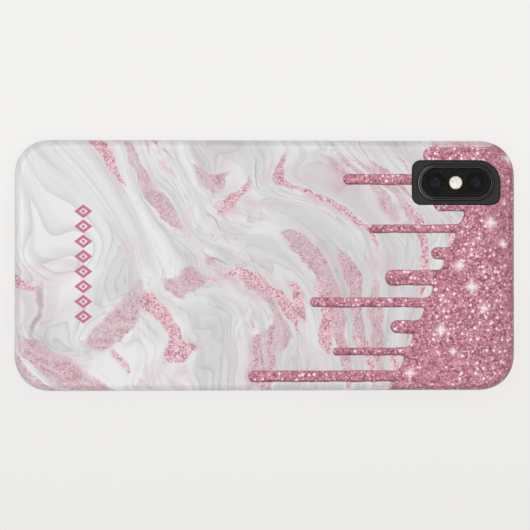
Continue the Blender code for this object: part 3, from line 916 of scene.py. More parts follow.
def bezel_material(grain):
    """Black anodised metal, turned smooth on its edges, with a painted highlight along them."""
    surface = {"Grain": 7000.0, "Depth": 0.06, "Roughness": 0.3, "Spread": 0.08}
    made = black_material("bezel_metal", grain, (srgb(26, 26, 26), srgb(34, 34, 34)), surface, 0.5)
    tree = made.node_tree
    shader = tree.nodes["Principled BSDF"]
    shader.inputs["Metallic"].default_value = 1.0
    # Its rounded edges are a lighter line: partly a polished edge and partly painted highlight, which is
    # brightest at the port end.
    where = add(tree, "ShaderNodeTexCoord")
    facing = xyz(tree, where.outputs["Normal"])["Z"]
    across = xyz(tree, where.outputs["Object"])["X"]
    # Painted highlight, fading from the port end towards the middle.
    highlight_falloff = smooth_step(tree, across, GUARD.x - HIGHLIGHT_START, GUARD.x - HIGHLIGHT_END, 1.0, 0.38)
    polished = maths(tree, "MULTIPLY", smooth_step(tree, facing, 0.995, 0.95), highlight_falloff)
    dark = shader.inputs["Base Color"].links[0].from_socket
    feed(tree, shader.inputs["Base Color"], mix(tree, polished, dark, srgb(160, 160, 160)))
    return made


def clear_glass_material():
    """Clear plate with an anti-glare coat. Light goes straight through it to what lies below."""
    made, tree, shader = new_material(
        "clear_glass", Base_Color=(0.93, 0.95, 0.97, 1.0), Transmission_Weight=1.0, IOR=1.18
    )
    smear = noise(tree, object_place(tree), 130.0, detail=4.0, flat_noise=False)[0]
    feed(tree, shader.inputs["Roughness"], smooth_step(tree, smear, 0.4, 0.8, 0.0, 0.06))
    path = add(tree, "ShaderNodeLightPath")
    through = add(tree, "ShaderNodeBsdfTransparent", {"Color": (0.9, 0.92, 0.94, 1.0)})
    blend = add(tree, "ShaderNodeMixShader")
    feed(tree, blend.inputs[0], path.outputs["Is Shadow Ray"])
    tree.links.new(shader.outputs[0], blend.inputs[1])
    tree.links.new(through.outputs[0], blend.inputs[2])
    tree.links.new(blend.outputs[0], tree.nodes["Material Output"].inputs["Surface"])
    return made


def from_middle(tree, middle):
    """The distance from an upright line through middle, in millimetres."""
    where = object_place(tree)
    off = vectors(tree, "SUBTRACT", where, tuple(middle))
    off = vectors(tree, "MULTIPLY", off, (1 / MM, 1 / MM, 0.0))
    return add(tree, "ShaderNodeVectorMath", {0: off}, operation="LENGTH").outputs["Value"]


def lens_material(name, middle):
    """A coated lens: near black, with a painted blue glint of its coating that is strongest near its middle.
    """
    made, tree, shader = new_material(name, Specular_IOR_Level=0.06, Coat_Roughness=0.02)
    radius = from_middle(tree, middle)
    # The blue stops near the middle are a painted glint of the coating.
    stops = (
        (0.0, srgb(14, 20, 30)),
        (0.22, srgb(17, 26, 40)),
        (0.36, srgb(13, 17, 24)),
        (0.55, srgb(12, 12, 12)),
        (1.0, srgb(10, 10, 9)),
    )
    looks = {
        "Base Color": ramp(tree, maths(tree, "DIVIDE", radius, 3.0), stops),
        "Roughness": smooth_step(tree, radius, 1.2, 1.6, 0.06, 0.6),
        "Coat Weight": smooth_step(tree, radius, 1.2, 1.6, 0.25, 0.0),
    }
    fill(tree, shader, looks)
    return made


def flash_material(middle):
    """A cream diffuser over small square emitters."""
    made, tree, shader = new_material("flash_cream", Specular_IOR_Level=0.3)
    where = object_place(tree)
    cells = add(tree, "ShaderNodeTexVoronoi", {"Vector": where, "Scale": 1500.0}, voronoi_dimensions="2D")
    pick = add(tree, "ShaderNodeSeparateColor", {0: cells.outputs["Color"]}).outputs["Red"]
    stops = ((0.0, srgb(214, 198, 184)), (0.5, srgb(238, 228, 216)), (1.0, srgb(252, 247, 240)))
    rim = smooth_step(tree, from_middle(tree, middle), 1.75, 2.15)
    colour = mix(tree, rim, ramp(tree, pick, stops), srgb(176, 158, 140))
    roughness = smooth_step(tree, pick, 0.0, 1.0, 0.35, 0.55)
    fill(tree, shader, {"Base Color": colour, "Roughness": roughness})
    return made


def pile_material():
    """Short dark pile, brushed one way."""
    made, tree, shader = new_material(
        "grey_pile", Sheen_Weight=0.4, Sheen_Roughness=0.5, Specular_IOR_Level=0.1
    )
    where = object_place(tree)
    pile = {"Vector": where, "Scale": (2600.0, 5200.0, 2600.0)}
    brushed = add(tree, "ShaderNodeMapping", pile).outputs[0]
    fibres = noise(tree, brushed, 1.0, detail=4.0, roughness=0.7, flat_noise=False)[0]
    strokes = noise(tree, where, 38.0, detail=3.0, flat_noise=False)[0]
    colour = mix(tree, fibres, srgb(62, 62, 66), srgb(104, 104, 110))
    colour = mix(tree, smooth_step(tree, strokes, 0.4, 0.6, 0.0, 0.35), colour, srgb(70, 70, 75))
    roughness = smooth_step(tree, fibres, 0.3, 0.7, 0.85, 1.0)
    bump = add(tree, "ShaderNodeBump", {"Strength": 0.6, "Distance": 0.0002, "Height": fibres}).outputs[0]
    fill(tree, shader, {"Base Color": colour, "Roughness": roughness, "Normal": bump})
    return made


# Shapes


def rolled_profile(side_inset, top, roll_in, roll_down, steps=ROLL_STEPS):
    """(inset, z) pairs from the flat back round the rolled edge to the side."""
    return [
        (side_inset + SIDE_DRAFT + roll_in * (1 - sine), top - roll_down * (1 - cosine))
        for sine, cosine in quarter_turn(steps)
    ]


def rings_of(profile):
    return [flat(case_outline(inset), z) for inset, z in profile]


# Name, span along the wall, how its rings lie, and the wall's place
NOTCHES = (
    ("power", (0.0284, 0.0423), on_side, HALF_WIDTH),
    ("volume", (0.0237, 0.0634), on_side, -HALF_WIDTH),
    ("port", (-0.0232, 0.0232), on_end, -HALF_LENGTH),
)


def wall_cutter(name, outline_of, place, wall, deep, round_off):
    """A cutter through the wall whose outer face is at wall.

    It widens at the mouth, to round the edge of the cut.
    """
    side = math.copysign(1, wall)
    rings = [place(outline_of(0.0), wall - side * deep)]
    for aside, down in rounded(round_off):
        rings.append(place(outline_of(aside), wall - side * down))
    rings.append(place(outline_of(round_off), wall + side * 2 * CUT_PAST))
    return skin(name, rings)


def printed_shell():
    """The hard outer shell with its rolled edge and its rounded openings."""
    rim_round = 0.0003
    outside = rolled_profile(0.0, SHELL_TOP, ROLL_IN, ROLL_DOWN)
    outside += [(aside, SHELL_RIM + down) for aside, down in rounded(rim_round)]
    roll_in = ROLL_IN - SHELL_WALL
    roll_down = ROLL_DOWN - SHELL_BACK
    inside = rolled_profile(SHELL_WALL, SHELL_TOP - SHELL_BACK, roll_in, roll_down, 6)
    inside.append((SHELL_WALL, SHELL_RIM))
    return skin("printed_shell", rings_of(outside + inside[::-1]))


def camera_cutter(bare, printed):
    """Cuts the camera opening, with a rounded edge at the back."""
    edge = bpy.context.scene.phone_case.opening_edge
    rings = [flat(camera_outline(), SHELL_TOP - SHELL_BACK - 2 * CUT_PAST)]
    rings += [flat(camera_outline(aside), SHELL_TOP - down) for aside, down in rounded(edge)]
    rings.append(flat(camera_outline(edge), SHELL_TOP + 2 * CUT_PAST))
    cutter = skin("camera_cutter", rings)
    coat(coat(cutter, bare), printed)
    # The print runs over the rounded edge, and the plastic is bare below it.
    for face in cutter.data.polygons:
        face.material_index = int(face.center.z > SHELL_TOP - edge)
    return cutter


def shell_cutters(bare, printed):
    """Cutters for the openings. Only the camera opening's rounded edge is printed."""
    deep = 0.0045
    round_off = 0.00025
    made = [camera_cutter(bare, printed)]
    for name, span, place, wall in NOTCHES:

        def notch(grow, span=span):
            return notch_outline(span, -grow)

        made.append(coat(wall_cutter(f"{name}_cutter", notch, place, wall, deep, round_off), bare))
    return made


def liner_body():
    """The soft liner before its pads are added and its openings are cut."""
    roll_in = ROLL_IN - SHELL_WALL - LAYER_GAP
    roll_down = ROLL_DOWN - SHELL_BACK - LAYER_GAP
    outside = rolled_profile(LINER_OUTER_INSET, LINER_TOP, roll_in, roll_down, 8)
    outside.append((LINER_OUTER_INSET, BUMPER_TOP))
    outside += [(BUMPER_INSET + down, BUMPER_TOP - aside) for aside, down in rounded(BUMPER_TOP_EDGE)]
    outside += [(BUMPER_INSET + aside, down) for aside, down in rounded(BUMPER_EDGE)]
    lip_inset = POCKET_INSET + LIP_OVERHANG
    lip_round = BUMPER_EDGE / 2
    inside = rolled_profile(POCKET_INSET, LINER_INSIDE_TOP, roll_in - LINER_WALL, roll_down - LINER_BACK, 8)
    inside.append((POCKET_INSET, LIP_THICKNESS))
    inside.append((lip_inset, LIP_THICKNESS))
    inside += [(lip_inset - aside, down) for aside, down in rounded(lip_round)]
    return skin("liner_body", rings_of(outside + inside[::-1]))


def liner_pad(name, span, place, wall):
    """A thickened stretch of the liner's side, with a rounded edge, that fills one of the shell's notches."""
    side = math.copysign(1, wall)
    face = wall - side * PAD_INSET
    low = BUMPER_TOP - PAD_ROOT
    rings = [place(notch_outline(span, PAD_GAP, low), wall - side * (LINER_OUTER_INSET + LINER_WALL / 2))]
    for aside, down in rounded(PAD_EDGE):
        rings.append(place(notch_outline(span, PAD_GAP + aside, low), face - side * down))
    return skin(name, rings)


def camera_surround():
    """The black field round the lens guard, with a rounded edge just under the shell's."""
    top = SHELL_TOP - SURROUND_RECESS
    rings = [flat(camera_outline(-SURROUND_GAP), LINER_TOP - LINER_BACK / 2)]
    for aside, down in rounded(SURROUND_EDGE):
        rings.append(flat(camera_outline(-SURROUND_GAP - aside), top - down))
    return skin("camera_surround", rings)


def guard_cutter():
    """The hole for the lens guard. It has a sloping mouth, and a seat inside for the bezel's flange."""
    top = SHELL_TOP - SURROUND_RECESS
    slope = bpy.context.scene.phone_case.surround_slope
    seat = guard_pill(BEZEL_FLANGE + GUARD_GAP)
    seat_top = LINER_INSIDE_TOP + BEZEL_FLANGE_HEIGHT + GUARD_GAP
    rings = [
        flat(seat, LINER_INSIDE_TOP - CUT_PAST),
        flat(seat, seat_top),
        flat(guard_pill(GUARD_GAP), seat_top),
        flat(guard_pill(GUARD_GAP), top - slope * SURROUND_FALL),
    ]
    for part in (0.12, 0.4, 0.75, 0.93, 1.0):
        fall = slope * SURROUND_FALL * (1 - part) ** 1.3
        rings.append(flat(guard_pill(GUARD_GAP + slope * part), top - fall))
    rings.append(flat(guard_pill(GUARD_GAP + slope), top + CUT_PAST))
    return skin("guard_cutter", rings)


def cap_measures(name):
    """A cap's side of the case, its middle and its stem's length and height, from its place in the frame."""
    low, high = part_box(f"{name}_cap")
    middle = ((low.x + high.x) / 2, (low.z + high.z) / 2)
    length = high.x - low.x - 2 * FLANGE_MARGIN
    height = high.z - low.z - 2 * FLANGE_MARGIN
    return math.copysign(1, low.y), middle, length, height


def button_cutters():
    """For each cap, a hole for its stem and a wider seat behind it for its flange."""
    made = []
    for name in BUTTONS:
        side, middle, length, height = cap_measures(name)
        stem = pill(middle, length, height, BUTTON_CLEARANCE)
        seat = pill(middle, length, height, FLANGE_MARGIN + BUTTON_CLEARANCE)
        mouth = pill(middle, length, height, BUTTON_CLEARANCE + BUTTON_MOUTH)
        face = HALF_WIDTH - PAD_INSET
        seat_face = side * (HALF_WIDTH - FLANGE_SEAT_INSET)
        rings = [
            on_side(mouth, side * (HALF_WIDTH + CUT_PAST)),
            on_side(mouth, side * face),
            on_side(stem, side * (face - BUTTON_MOUTH)),
            on_side(stem, seat_face),
            on_side(seat, seat_face),
            on_side(seat, side * (HALF_WIDTH - POCKET_INSET - CUT_PAST)),
        ]
        made.append(skin(f"{name}_cutter", rings))
    return made


def side_opening_cutters():
    """The mute switch's slot, the charging port and the speaker holes, all with rounded mouths."""
    deep = POCKET_INSET + CUT_PAST
    wall = HALF_WIDTH - PAD_INSET
    end = HALF_LENGTH - PAD_INSET

    def slot(middle, length, height):
        return lambda grow: pill((middle, OPENING_MIDDLE), length, height, grow)

    mute = slot(MUTE_SLOT_MIDDLE, MUTE_SLOT_LENGTH, MUTE_SLOT_HEIGHT)
    port = slot(0.0, PORT_WIDTH, PORT_HEIGHT)
    made = [
        wall_cutter("mute_cutter", mute, on_side, -wall, deep, SLOT_EDGE),
        wall_cutter("port_cutter", port, on_end, -end, deep, SLOT_EDGE),
    ]
    for side in (-1, 1):
        for number in range(SPEAKER_HOLES):
            middle = side * (SPEAKER_FIRST + SPEAKER_HOLE_PITCH * number)

            def hole(grow, middle=middle):
                return circle((middle, OPENING_MIDDLE), SPEAKER_HOLE_RADIUS + grow, 24)

            name = f"speaker_cutter_{side * (number + 1)}"
            made.append(wall_cutter(name, hole, on_end, -end, deep, HOLE_EDGE))
    return made


def lining_sheet():
    """The pile lining: a thin sheet with a rounded edge towards the phone."""
    inset = HALF_LENGTH - LINING_HIGH.x
    thickness = LINING_HIGH.z - LINING_LOW.z
    edge = thickness / 3
    outline = case_outline(inset)
    rings = [
        flat(outline, LINING_HIGH.z),
        flat(outline, LINING_LOW.z + edge),
        flat(case_outline(inset + edge / 2), LINING_LOW.z + edge / 4),
        flat(case_outline(inset + edge * 1.5), LINING_LOW.z),
    ]
    return skin("lining_sheet", rings)


def lining_cutter():
    """The lining's window for the lens guard."""
    window = guard_pill(BEZEL_FLANGE + LINING_WINDOW_GAP)
    ends = (LINING_LOW.z - CUT_PAST, LINING_HIGH.z + CUT_PAST)
    return skin("lining_cutter", [flat(window, end) for end in ends])


def button_cap(name):
    """One cap: a flange, a stem and a crowned face with a rounded edge."""
    side, middle, length, height = cap_measures(name)
    low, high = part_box(f"{name}_cap")
    outermost = max(abs(low.y), abs(high.y))
    innermost = min(abs(low.y), abs(high.y))
    shoulder = innermost + FLANGE_THICKNESS
    face = outermost - BUTTON_CROWN

    def ring(grow, out):
        return on_side(pill(middle, length, height, grow), side * out)

    rings = [ring(FLANGE_MARGIN, innermost), ring(FLANGE_MARGIN, shoulder), ring(0.0, shoulder)]
    for sine, cosine in quarter_turn(6):
        rings.append(ring(-BUTTON_EDGE * (1 - cosine), face - BUTTON_EDGE * 0.6 * (1 - sine)))
    for part in (0.35, 0.7, 0.92):
        lift = BUTTON_CROWN * (1 - (1 - part) ** 2)
        shrink = BUTTON_EDGE + (height / 2 - BUTTON_EDGE) * part
        rings.append(ring(-shrink, face + lift))
    return skin(f"{name}_key", rings)


def bezel_ring():
    """The lens guard's ring, with polished rounds on both edges of its face."""
    bottom = LINER_INSIDE_TOP
    flange_top = bottom + BEZEL_FLANGE_HEIGHT
    top = BEZEL_HIGH.z
    edge = rounded(BEZEL_EDGE)
    ledge = -BEZEL_RIM - BEZEL_LEDGE
    profile = [(BEZEL_FLANGE, bottom), (BEZEL_FLANGE, flange_top), (0.0, flange_top)]
    profile += [(-aside, top - down) for aside, down in edge]
    profile += [(aside - BEZEL_RIM, top - down) for aside, down in edge[::-1]]
    profile += [(-BEZEL_RIM, LEDGE_TOP), (ledge, LEDGE_TOP), (ledge, bottom)]
    return skin("bezel_ring", [flat(guard_pill(grow), z) for grow, z in profile], endless=True)


def gasket_ring():
    """The soft ring under the mask, with rounded sides."""
    low, high = GASKET_LOW.z, GASKET_HIGH.z
    middle = (low + high) / 2
    half = (high - low) / 2
    outer = -BEZEL_RIM - GUARD_GAP
    inner = -BEZEL_RIM - BEZEL_LEDGE
    rings = []
    turns = 12
    for step in range(turns):
        angle = 2 * math.pi * step / turns
        aside = (outer + inner) / 2 + ((outer - inner) / 2) * math.cos(angle)
        rings.append(flat(guard_pill(aside), middle + half * math.sin(angle)))
    return skin("gasket_ring", rings, endless=True)


def turned_disc(name, middle, profile):
    """A disc turned from (radius, z) points that start at its top centre and end at its bottom centre."""
    return skin(name, [flat(circle(middle, radius, DISC_STEPS), z) for radius, z in profile])


def window_flange(radius):
    """The end of a window's profile: a thin flange behind the mask that closes the gap round the window."""
    top = MASK_LOW.z - HAIR_GAP
    bottom = GASKET_HIGH.z + HAIR_GAP
    wide = radius + WINDOW_FLANGE
    return [(radius, top), (wide, top), (wide, bottom), (CENTRE_RING, bottom)]


def lens_window(name):
    """A lens: a domed element in a stepped barrel."""
    low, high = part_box(name)
    middle = (low + high) / 2
    radius = (high.x - low.x) / 2
    top = high.z
    profile = [(CENTRE_RING, top - DOME_DEPTH)]
    for sine, cosine in quarter_turn(8)[1:]:
        profile.append((DOME_RADIUS * sine, top - DOME_DEPTH - DOME_RISE * (1 - cosine)))
    for start, depth in BARREL_STEPS:
        profile += [(start, top - depth), (start + BARREL_LAND, top - depth)]
    profile += [(BARREL_MOUTH, top), (radius - LENS_EDGE, top), (radius, top - LENS_EDGE)]
    profile += window_flange(radius)
    return turned_disc(f"{name}_lens", middle, profile), middle


def flash_disc():
    """The flash window: a diffuser with fine concentric ridges."""
    low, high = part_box("flash_window")
    middle = (low + high) / 2
    radius = (high.x - low.x) / 2
    top = high.z
    profile = [(CENTRE_RING, top - RIDGE_CENTRE)]
    for ridge in range(RIDGES):
        start = RIDGED_RADIUS * ridge / RIDGES
        end = RIDGED_RADIUS * (ridge + 1) / RIDGES
        profile += [(start + (end - start) * RIDGE_BACK, top), (end, top - RIDGE_DEPTH)]
    profile += [(radius - FLASH_EDGE, top), (radius, top - FLASH_EDGE), *window_flange(radius)]
    return turned_disc("flash_diffuser", middle, profile), middle


def mask_plate(material):
    """The black plate under the glass, with a chamfered hole for each window."""
    outline = guard_pill(-BEZEL_RIM - GUARD_GAP)
    plate = coat(skin("mask_plate", [flat(outline, MASK_LOW.z), flat(outline, MASK_HIGH.z)]), material)
    cutters = []
    for name in ("lower_lens_window", "flash_window", "upper_lens_window"):
        low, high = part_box(name)
        middle = ((low.x + high.x) / 2, (low.y + high.y) / 2)
        radius = (high.x - low.x) / 2 + WINDOW_GAP
        wide = radius + MASK_CHAMFER
        profile = [
            (radius, MASK_LOW.z - CUT_PAST),
            (radius, MASK_HIGH.z - MASK_CHAMFER),
            (wide, MASK_HIGH.z),
            (wide, MASK_HIGH.z + CUT_PAST),
        ]
        cutters.append(coat(turned_disc(f"{name}_cutter", middle, profile), material))
    return cut_and_join(plate, cutters)


def glass_plate():
    """The clear plate, with a rounded upper edge."""
    outer = -BEZEL_RIM - GUARD_GAP
    rings = [flat(guard_pill(outer), GLASS_LOW.z)]
    for aside, down in rounded(GLASS_EDGE):
        rings.append(flat(guard_pill(outer - aside), GLASS_HIGH.z - down))
    return skin("glass_plate", rings)


def light_panel(name, place, power):
    """A soft rectangular light that faces the case."""
    data = bpy.data.lights.new(name, "AREA")
    data.shape = "RECTANGLE"
    data.size, data.size_y = PANEL_SIZE
    data.energy = power
    data.color = PANEL_WHITE
    panel = bpy.data.objects.new(name, data)
    panel.location = place
    panel.rotation_euler = (-Vector(place)).to_track_quat("-Z", "Y").to_euler()
    bpy.context.scene.collection.objects.link(panel)


class PhoneCaseSettings(bpy.types.PropertyGroup):
    """Sizes and colours that a user would change."""

    corner_reach: bpy.props.FloatProperty(
        name="Corner reach", description="How far each corner's curve reaches along the sides",
        default=0.0124, min=0.006, max=0.02, subtype="DISTANCE", unit="LENGTH", precision=4,
    )
    corner_power: bpy.props.FloatProperty(
        name="Corner fullness", description="2 is a round corner, and more makes it squarer",
        default=2.25, min=2.0, max=4.0, subtype="FACTOR",
    )
    opening_edge: bpy.props.FloatProperty(
        name="Opening edge", description="Radius of the camera opening's rounded edge",
        default=0.0003, min=0.0001, max=0.0006, subtype="DISTANCE", unit="LENGTH", precision=5,
    )
    surround_slope: bpy.props.FloatProperty(
        name="Surround slope", description="Width of the slope that runs down to the lens guard",
        default=0.0010, min=0.0003, max=0.0012, subtype="DISTANCE", unit="LENGTH", precision=5,
    )
    marble_pale: bpy.props.FloatVectorProperty(
        name="Pale marble", description="The marble's lightest colour",
        default=srgb(234, 234, 236), size=4, min=0.0, max=1.0, subtype="COLOR",
    )
    marble_grey: bpy.props.FloatVectorProperty(
        name="Grey marble", description="The marble's grey shade",
        default=srgb(214, 214, 216), size=4, min=0.0, max=1.0, subtype="COLOR",
    )
    glitter_dark: bpy.props.FloatVectorProperty(
        name="Dark flakes", description="The glitter's darkest flakes",
        default=srgb(140, 76, 97), size=4, min=0.0, max=1.0, subtype="COLOR",
    )
    glitter_middle: bpy.props.FloatVectorProperty(
        name="Rose flakes", description="The glitter's main colour",
        default=srgb(190, 122, 142), size=4, min=0.0, max=1.0, subtype="COLOR",
    )
    glitter_light: bpy.props.FloatVectorProperty(
        name="Light flakes", description="The glitter's light flakes",
        default=srgb(224, 166, 180), size=4, min=0.0, max=1.0, subtype="COLOR",
    )
    ornament_colour: bpy.props.FloatVectorProperty(
        name="Ornament", description="Colour of the diamonds near the port end",
        default=srgb(200, 112, 142), size=4, min=0.0, max=1.0, subtype="COLOR",
    )
    ornament_count: bpy.props.IntProperty(
        name="Diamonds", description="How many diamonds stand in the column", default=8, min=1, max=12,
    )
    ornament_length: bpy.props.FloatProperty(
        name="Column length", description="Length of the column of diamonds",
        default=0.0385, min=0.01, max=0.06, subtype="DISTANCE", unit="LENGTH", precision=4,
    )
    ornament_width: bpy.props.FloatProperty(
        name="Column width", description="Width of each diamond",
        default=0.0058, min=0.002, max=0.01, subtype="DISTANCE", unit="LENGTH", precision=4,
    )
    ornament_stroke: bpy.props.FloatProperty(
        name="Stroke", description="Thickness of the diamonds' lines",
        default=0.0009, min=0.0003, max=0.0015, subtype="DISTANCE", unit="LENGTH", precision=5,
    )
    ornament_across: bpy.props.FloatProperty(
        name="Column place", description="Where the column stands along the case",
        default=-0.0585, min=-0.07, max=0.04, subtype="DISTANCE", unit="LENGTH", precision=4,
    )
    ornament_up: bpy.props.FloatProperty(
        name="Column height", description="Where the column's middle is across the case",
        default=0.0005, min=-0.02, max=0.02, subtype="DISTANCE", unit="LENGTH", precision=4,
    )


class PhoneCaseStage(bpy.types.PropertyGroup):
    """The floor, the lights and the camera."""

    floor_colour: bpy.props.FloatVectorProperty(
        name="Floor", description="Colour of the pale floor",
        default=(0.9, 0.892, 0.878), size=3, min=0.0, max=1.0, subtype="COLOR",
    )
    floor_glow: bpy.props.FloatProperty(
        name="Floor glow",
        description="Share of the floor's brightness that comes from under it, as on a light table",
        default=0.9, min=0.0, max=0.9, subtype="FACTOR",
    )
    surroundings: bpy.props.FloatProperty(
        name="Surroundings", description="Brightness of the even light from all round",
        default=0.22, min=0.0, max=3.0,
    )
    panel_power: bpy.props.FloatProperty(
        name="Panel power", description="Power of each soft light",
        default=4.95, min=0.0, max=100.0, subtype="POWER", unit="POWER",
    )
    camera_distance: bpy.props.FloatProperty(
        name="Camera distance", description="From the lens to the case",
        default=0.9, min=0.2, max=3.0, subtype="DISTANCE", unit="LENGTH",
    )
    camera_lean: bpy.props.FloatProperty(
        name="Camera lean", description="How far the camera stands over the port end",
        default=math.radians(3.2), min=0.0, max=0.5, subtype="ANGLE", unit="ROTATION",
    )
    view_width: bpy.props.FloatProperty(
        name="View width", description="Width of the floor that the camera sees",
        default=0.1706, min=0.05, max=1.0, subtype="DISTANCE", unit="LENGTH", precision=4,
    )


def shared_grain():
    """The moulded grain group, made by whichever piece needs it first."""
    return bpy.data.node_groups.get("moulded_grain") or moulded_grain_group()


def liner_material():
    """The liner's soft matt black, which the gasket has too."""
    surface = {"Grain": 3600.0, "Depth": 0.35, "Roughness": 0.62, "Spread": 0.12}
    colours = (srgb(16, 16, 17), srgb(23, 23, 24))
    made = bpy.data.materials.get("soft_black")
    return made or black_material("soft_black", shared_grain(), colours, surface, 0.03)


class PHONECASE_OT_shell(bpy.types.Operator):
    """Builds the printed outer shell"""

    bl_idname = "phonecase.shell"
    bl_label = "Printed shell"

    def execute(self, context):
        printed = printed_material()
        cutters = shell_cutters(bare_shell_material(shared_grain()), printed)
        shell = cut_and_join(coat(printed_shell(), printed), cutters)
        place_piece(shell, "case", "outer_shell")
        return {"FINISHED"}


class PHONECASE_OT_liner(bpy.types.Operator):
    """Builds the soft liner with its bumper, pads and camera surround"""

    bl_idname = "phonecase.liner"
    bl_label = "Soft liner"

    def execute(self, context):
        pads = [liner_pad(f"{name}_pad", *where) for name, *where in NOTCHES]
        pads.append(camera_surround())
        cutters = [guard_cutter(), *button_cutters(), *side_opening_cutters()]
        material = liner_material()
        liner = coat(liner_body(), material)
        for other in (*pads, *cutters):
            coat(other, material)
        place_piece(cut_and_join(liner, cutters, pads), "case", "soft_liner")
        return {"FINISHED"}


class PHONECASE_OT_lining(bpy.types.Operator):
    """Builds the pile lining inside the back"""

    bl_idname = "phonecase.lining"
    bl_label = "Pile lining"

    def execute(self, context):
        material = pile_material()
        sheet = cut_and_join(coat(lining_sheet(), material), [coat(lining_cutter(), material)])
        place_piece(sheet, "case", "pile_lining")
        return {"FINISHED"}


class PHONECASE_OT_buttons(bpy.types.Operator):
    """Builds the three button caps"""

    bl_idname = "phonecase.buttons"
    bl_label = "Button caps"

    def execute(self, context):
        surface = {"Grain": 6000.0, "Depth": 0.12, "Roughness": 0.42, "Spread": 0.1}
        colours = (srgb(20, 20, 21), srgb(30, 30, 31))
        material = black_material("cap_black", shared_grain(), colours, surface, 0.4)
        for name in BUTTONS:
            place_piece(coat(button_cap(name), material), name, f"{name}_cap")
        return {"FINISHED"}


class PHONECASE_OT_guard(bpy.types.Operator):
    """Builds the lens guard's bezel, gasket and mask"""

    bl_idname = "phonecase.guard"
    bl_label = "Lens guard"

    def execute(self, context):
        ring = coat(bezel_ring(), bezel_material(shared_grain()))
        place_piece(ring, "case", "lens_guard_bezel")
        place_piece(coat(gasket_ring(), liner_material()), "case", "lens_guard_gasket")
        surface = {"Grain": 5000.0, "Depth": 0.03, "Roughness": 0.35, "Spread": 0.1}
        colours = (srgb(17, 16, 13), srgb(22, 21, 18))
        black = black_material("mask_black", shared_grain(), colours, surface, 0.06)
        place_piece(mask_plate(black), "case", "lens_guard_mask")
        return {"FINISHED"}


class PHONECASE_OT_windows(bpy.types.Operator):
    """Builds the two lens windows and the flash window"""

    bl_idname = "phonecase.windows"
    bl_label = "Windows"

    def execute(self, context):
        for name in ("lower_lens_window", "upper_lens_window"):
            lens, middle = lens_window(name)
            place_piece(coat(lens, lens_material(f"{name}_glass", middle)), "case", name)
        flash, middle = flash_disc()
        place_piece(coat(flash, flash_material(middle)), "case", "flash_window")
        return {"FINISHED"}


class PHONECASE_OT_glass(bpy.types.Operator):
    """Builds the clear plate over the windows"""

    bl_idname = "phonecase.glass"
    bl_label = "Glass plate"

    def execute(self, context):
        place_piece(coat(glass_plate(), clear_glass_material()), "case", "lens_guard_glass")
        return {"FINISHED"}


FLOOR_THICKNESS = 0.02
FLOOR_GAP = 0.00002
# The soft lights stand in a cross over the case: name, place along X and Y, and share of the panel power
PANEL_AWAY, PANEL_UP = 0.70, 1.20
PANEL_SIZE = (1.1, 0.75)
PANEL_WHITE = (1.0, 0.99, 0.975)
PANELS = (("north", 0, 1, 1.1), ("south", 0, -1, 0.9), ("east", 1, 0, 0.8), ("west", -1, 0, 1.2))
# The point that the camera faces
AIM = Vector((-0.00017, 0.00016, 0.008))


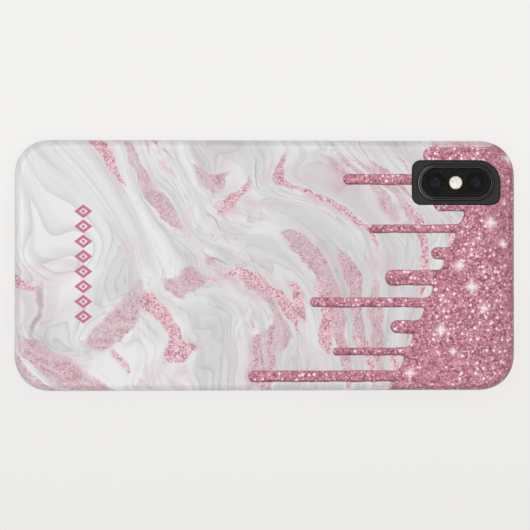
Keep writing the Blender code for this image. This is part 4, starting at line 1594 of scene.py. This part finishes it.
class PHONECASE_OT_stage(bpy.types.Operator):
    """Builds the pale floor, the soft lights and the camera"""

    bl_idname = "phonecase.stage"
    bl_label = "Stage"

    def execute(self, context):
        scene = context.scene
        stage = scene.phone_case_stage
        glow = stage.floor_glow
        made, tree, shader = new_material(
            "pale_floor", Specular_IOR_Level=0.05, Roughness=0.9, Emission_Strength=glow / (1 - glow)
        )
        # The floor is a little darker towards the volume side: painted shade, as the light falls off across
        # it.
        painted_falloff = smooth_step(tree, xyz(tree, object_place(tree))["Y"], -0.10, 0.06)
        paper = [value * (1 - glow) for value in stage.floor_colour]
        shade = (*[value * 0.93 for value in paper], 1.0)
        colour = mix(tree, painted_falloff, shade, (*paper, 1.0))
        fill(tree, shader, {"Base Color": colour, "Emission Color": colour})
        size = 3.0
        corners = [(-size, -size), (size, -size), (size, size), (-size, size)]
        floor = coat(skin("floor", [flat(corners, -FLOOR_THICKNESS), flat(corners, -FLOOR_GAP)]), made)

        world = scene.world or bpy.data.worlds.new("studio")
        scene.world = world
        world.use_nodes = True
        sky = world.node_tree.nodes["Background"]
        sky.inputs["Color"].default_value = (1.0, 0.995, 0.985, 1.0)
        sky.inputs["Strength"].default_value = stage.surroundings

        for name, x, y, share in PANELS:
            place = (x * PANEL_AWAY, y * PANEL_AWAY, PANEL_UP)
            light_panel(f"panel_{name}", place, stage.panel_power * share)

        data = bpy.data.cameras.new("camera")
        data.sensor_width = 36.0
        data.lens = data.sensor_width * stage.camera_distance / stage.view_width
        data.clip_start = 0.01
        data.dof.use_dof = False
        camera = bpy.data.objects.new("camera", data)
        lean = stage.camera_lean
        camera.location = AIM + stage.camera_distance * Vector((-math.sin(lean), 0.0, math.cos(lean)))
        camera.rotation_euler = (0.0, -lean, 0.0)
        scene.collection.objects.link(camera)
        scene.camera = camera
        scene.view_settings.view_transform = "Standard"
        return {"FINISHED"}


class PHONECASE_PT_panel(bpy.types.Panel):
    """Lists the case's pieces and settings"""

    bl_idname = "PHONECASE_PT_panel"
    bl_label = "Phone case"
    bl_space_type = "VIEW_3D"
    bl_region_type = "UI"
    bl_category = "Phone case"

    def draw(self, context):
        layout = self.layout
        for operator in OPERATORS:
            layout.operator(operator.bl_idname)
        for settings in (context.scene.phone_case, context.scene.phone_case_stage):
            column = layout.column()
            for name in settings.__annotations__:
                column.prop(settings, name)


OPERATORS = (
    PHONECASE_OT_shell,
    PHONECASE_OT_liner,
    PHONECASE_OT_lining,
    PHONECASE_OT_buttons,
    PHONECASE_OT_guard,
    PHONECASE_OT_windows,
    PHONECASE_OT_glass,
    PHONECASE_OT_stage,
)
CLASSES = (PhoneCaseSettings, PhoneCaseStage, *OPERATORS, PHONECASE_PT_panel)


def register():
    for each in CLASSES:
        bpy.utils.register_class(each)
    bpy.types.Scene.phone_case = bpy.props.PointerProperty(type=PhoneCaseSettings)
    bpy.types.Scene.phone_case_stage = bpy.props.PointerProperty(type=PhoneCaseStage)


def unregister():
    del bpy.types.Scene.phone_case_stage
    del bpy.types.Scene.phone_case
    for each in reversed(CLASSES):
        bpy.utils.unregister_class(each)


def main():
    register()
    for operator in OPERATORS:
        family, name = operator.bl_idname.split(".")
        getattr(getattr(bpy.ops, family), name)()
    bpy.context.view_layer.update()


if __name__ == "__main__":
    main()
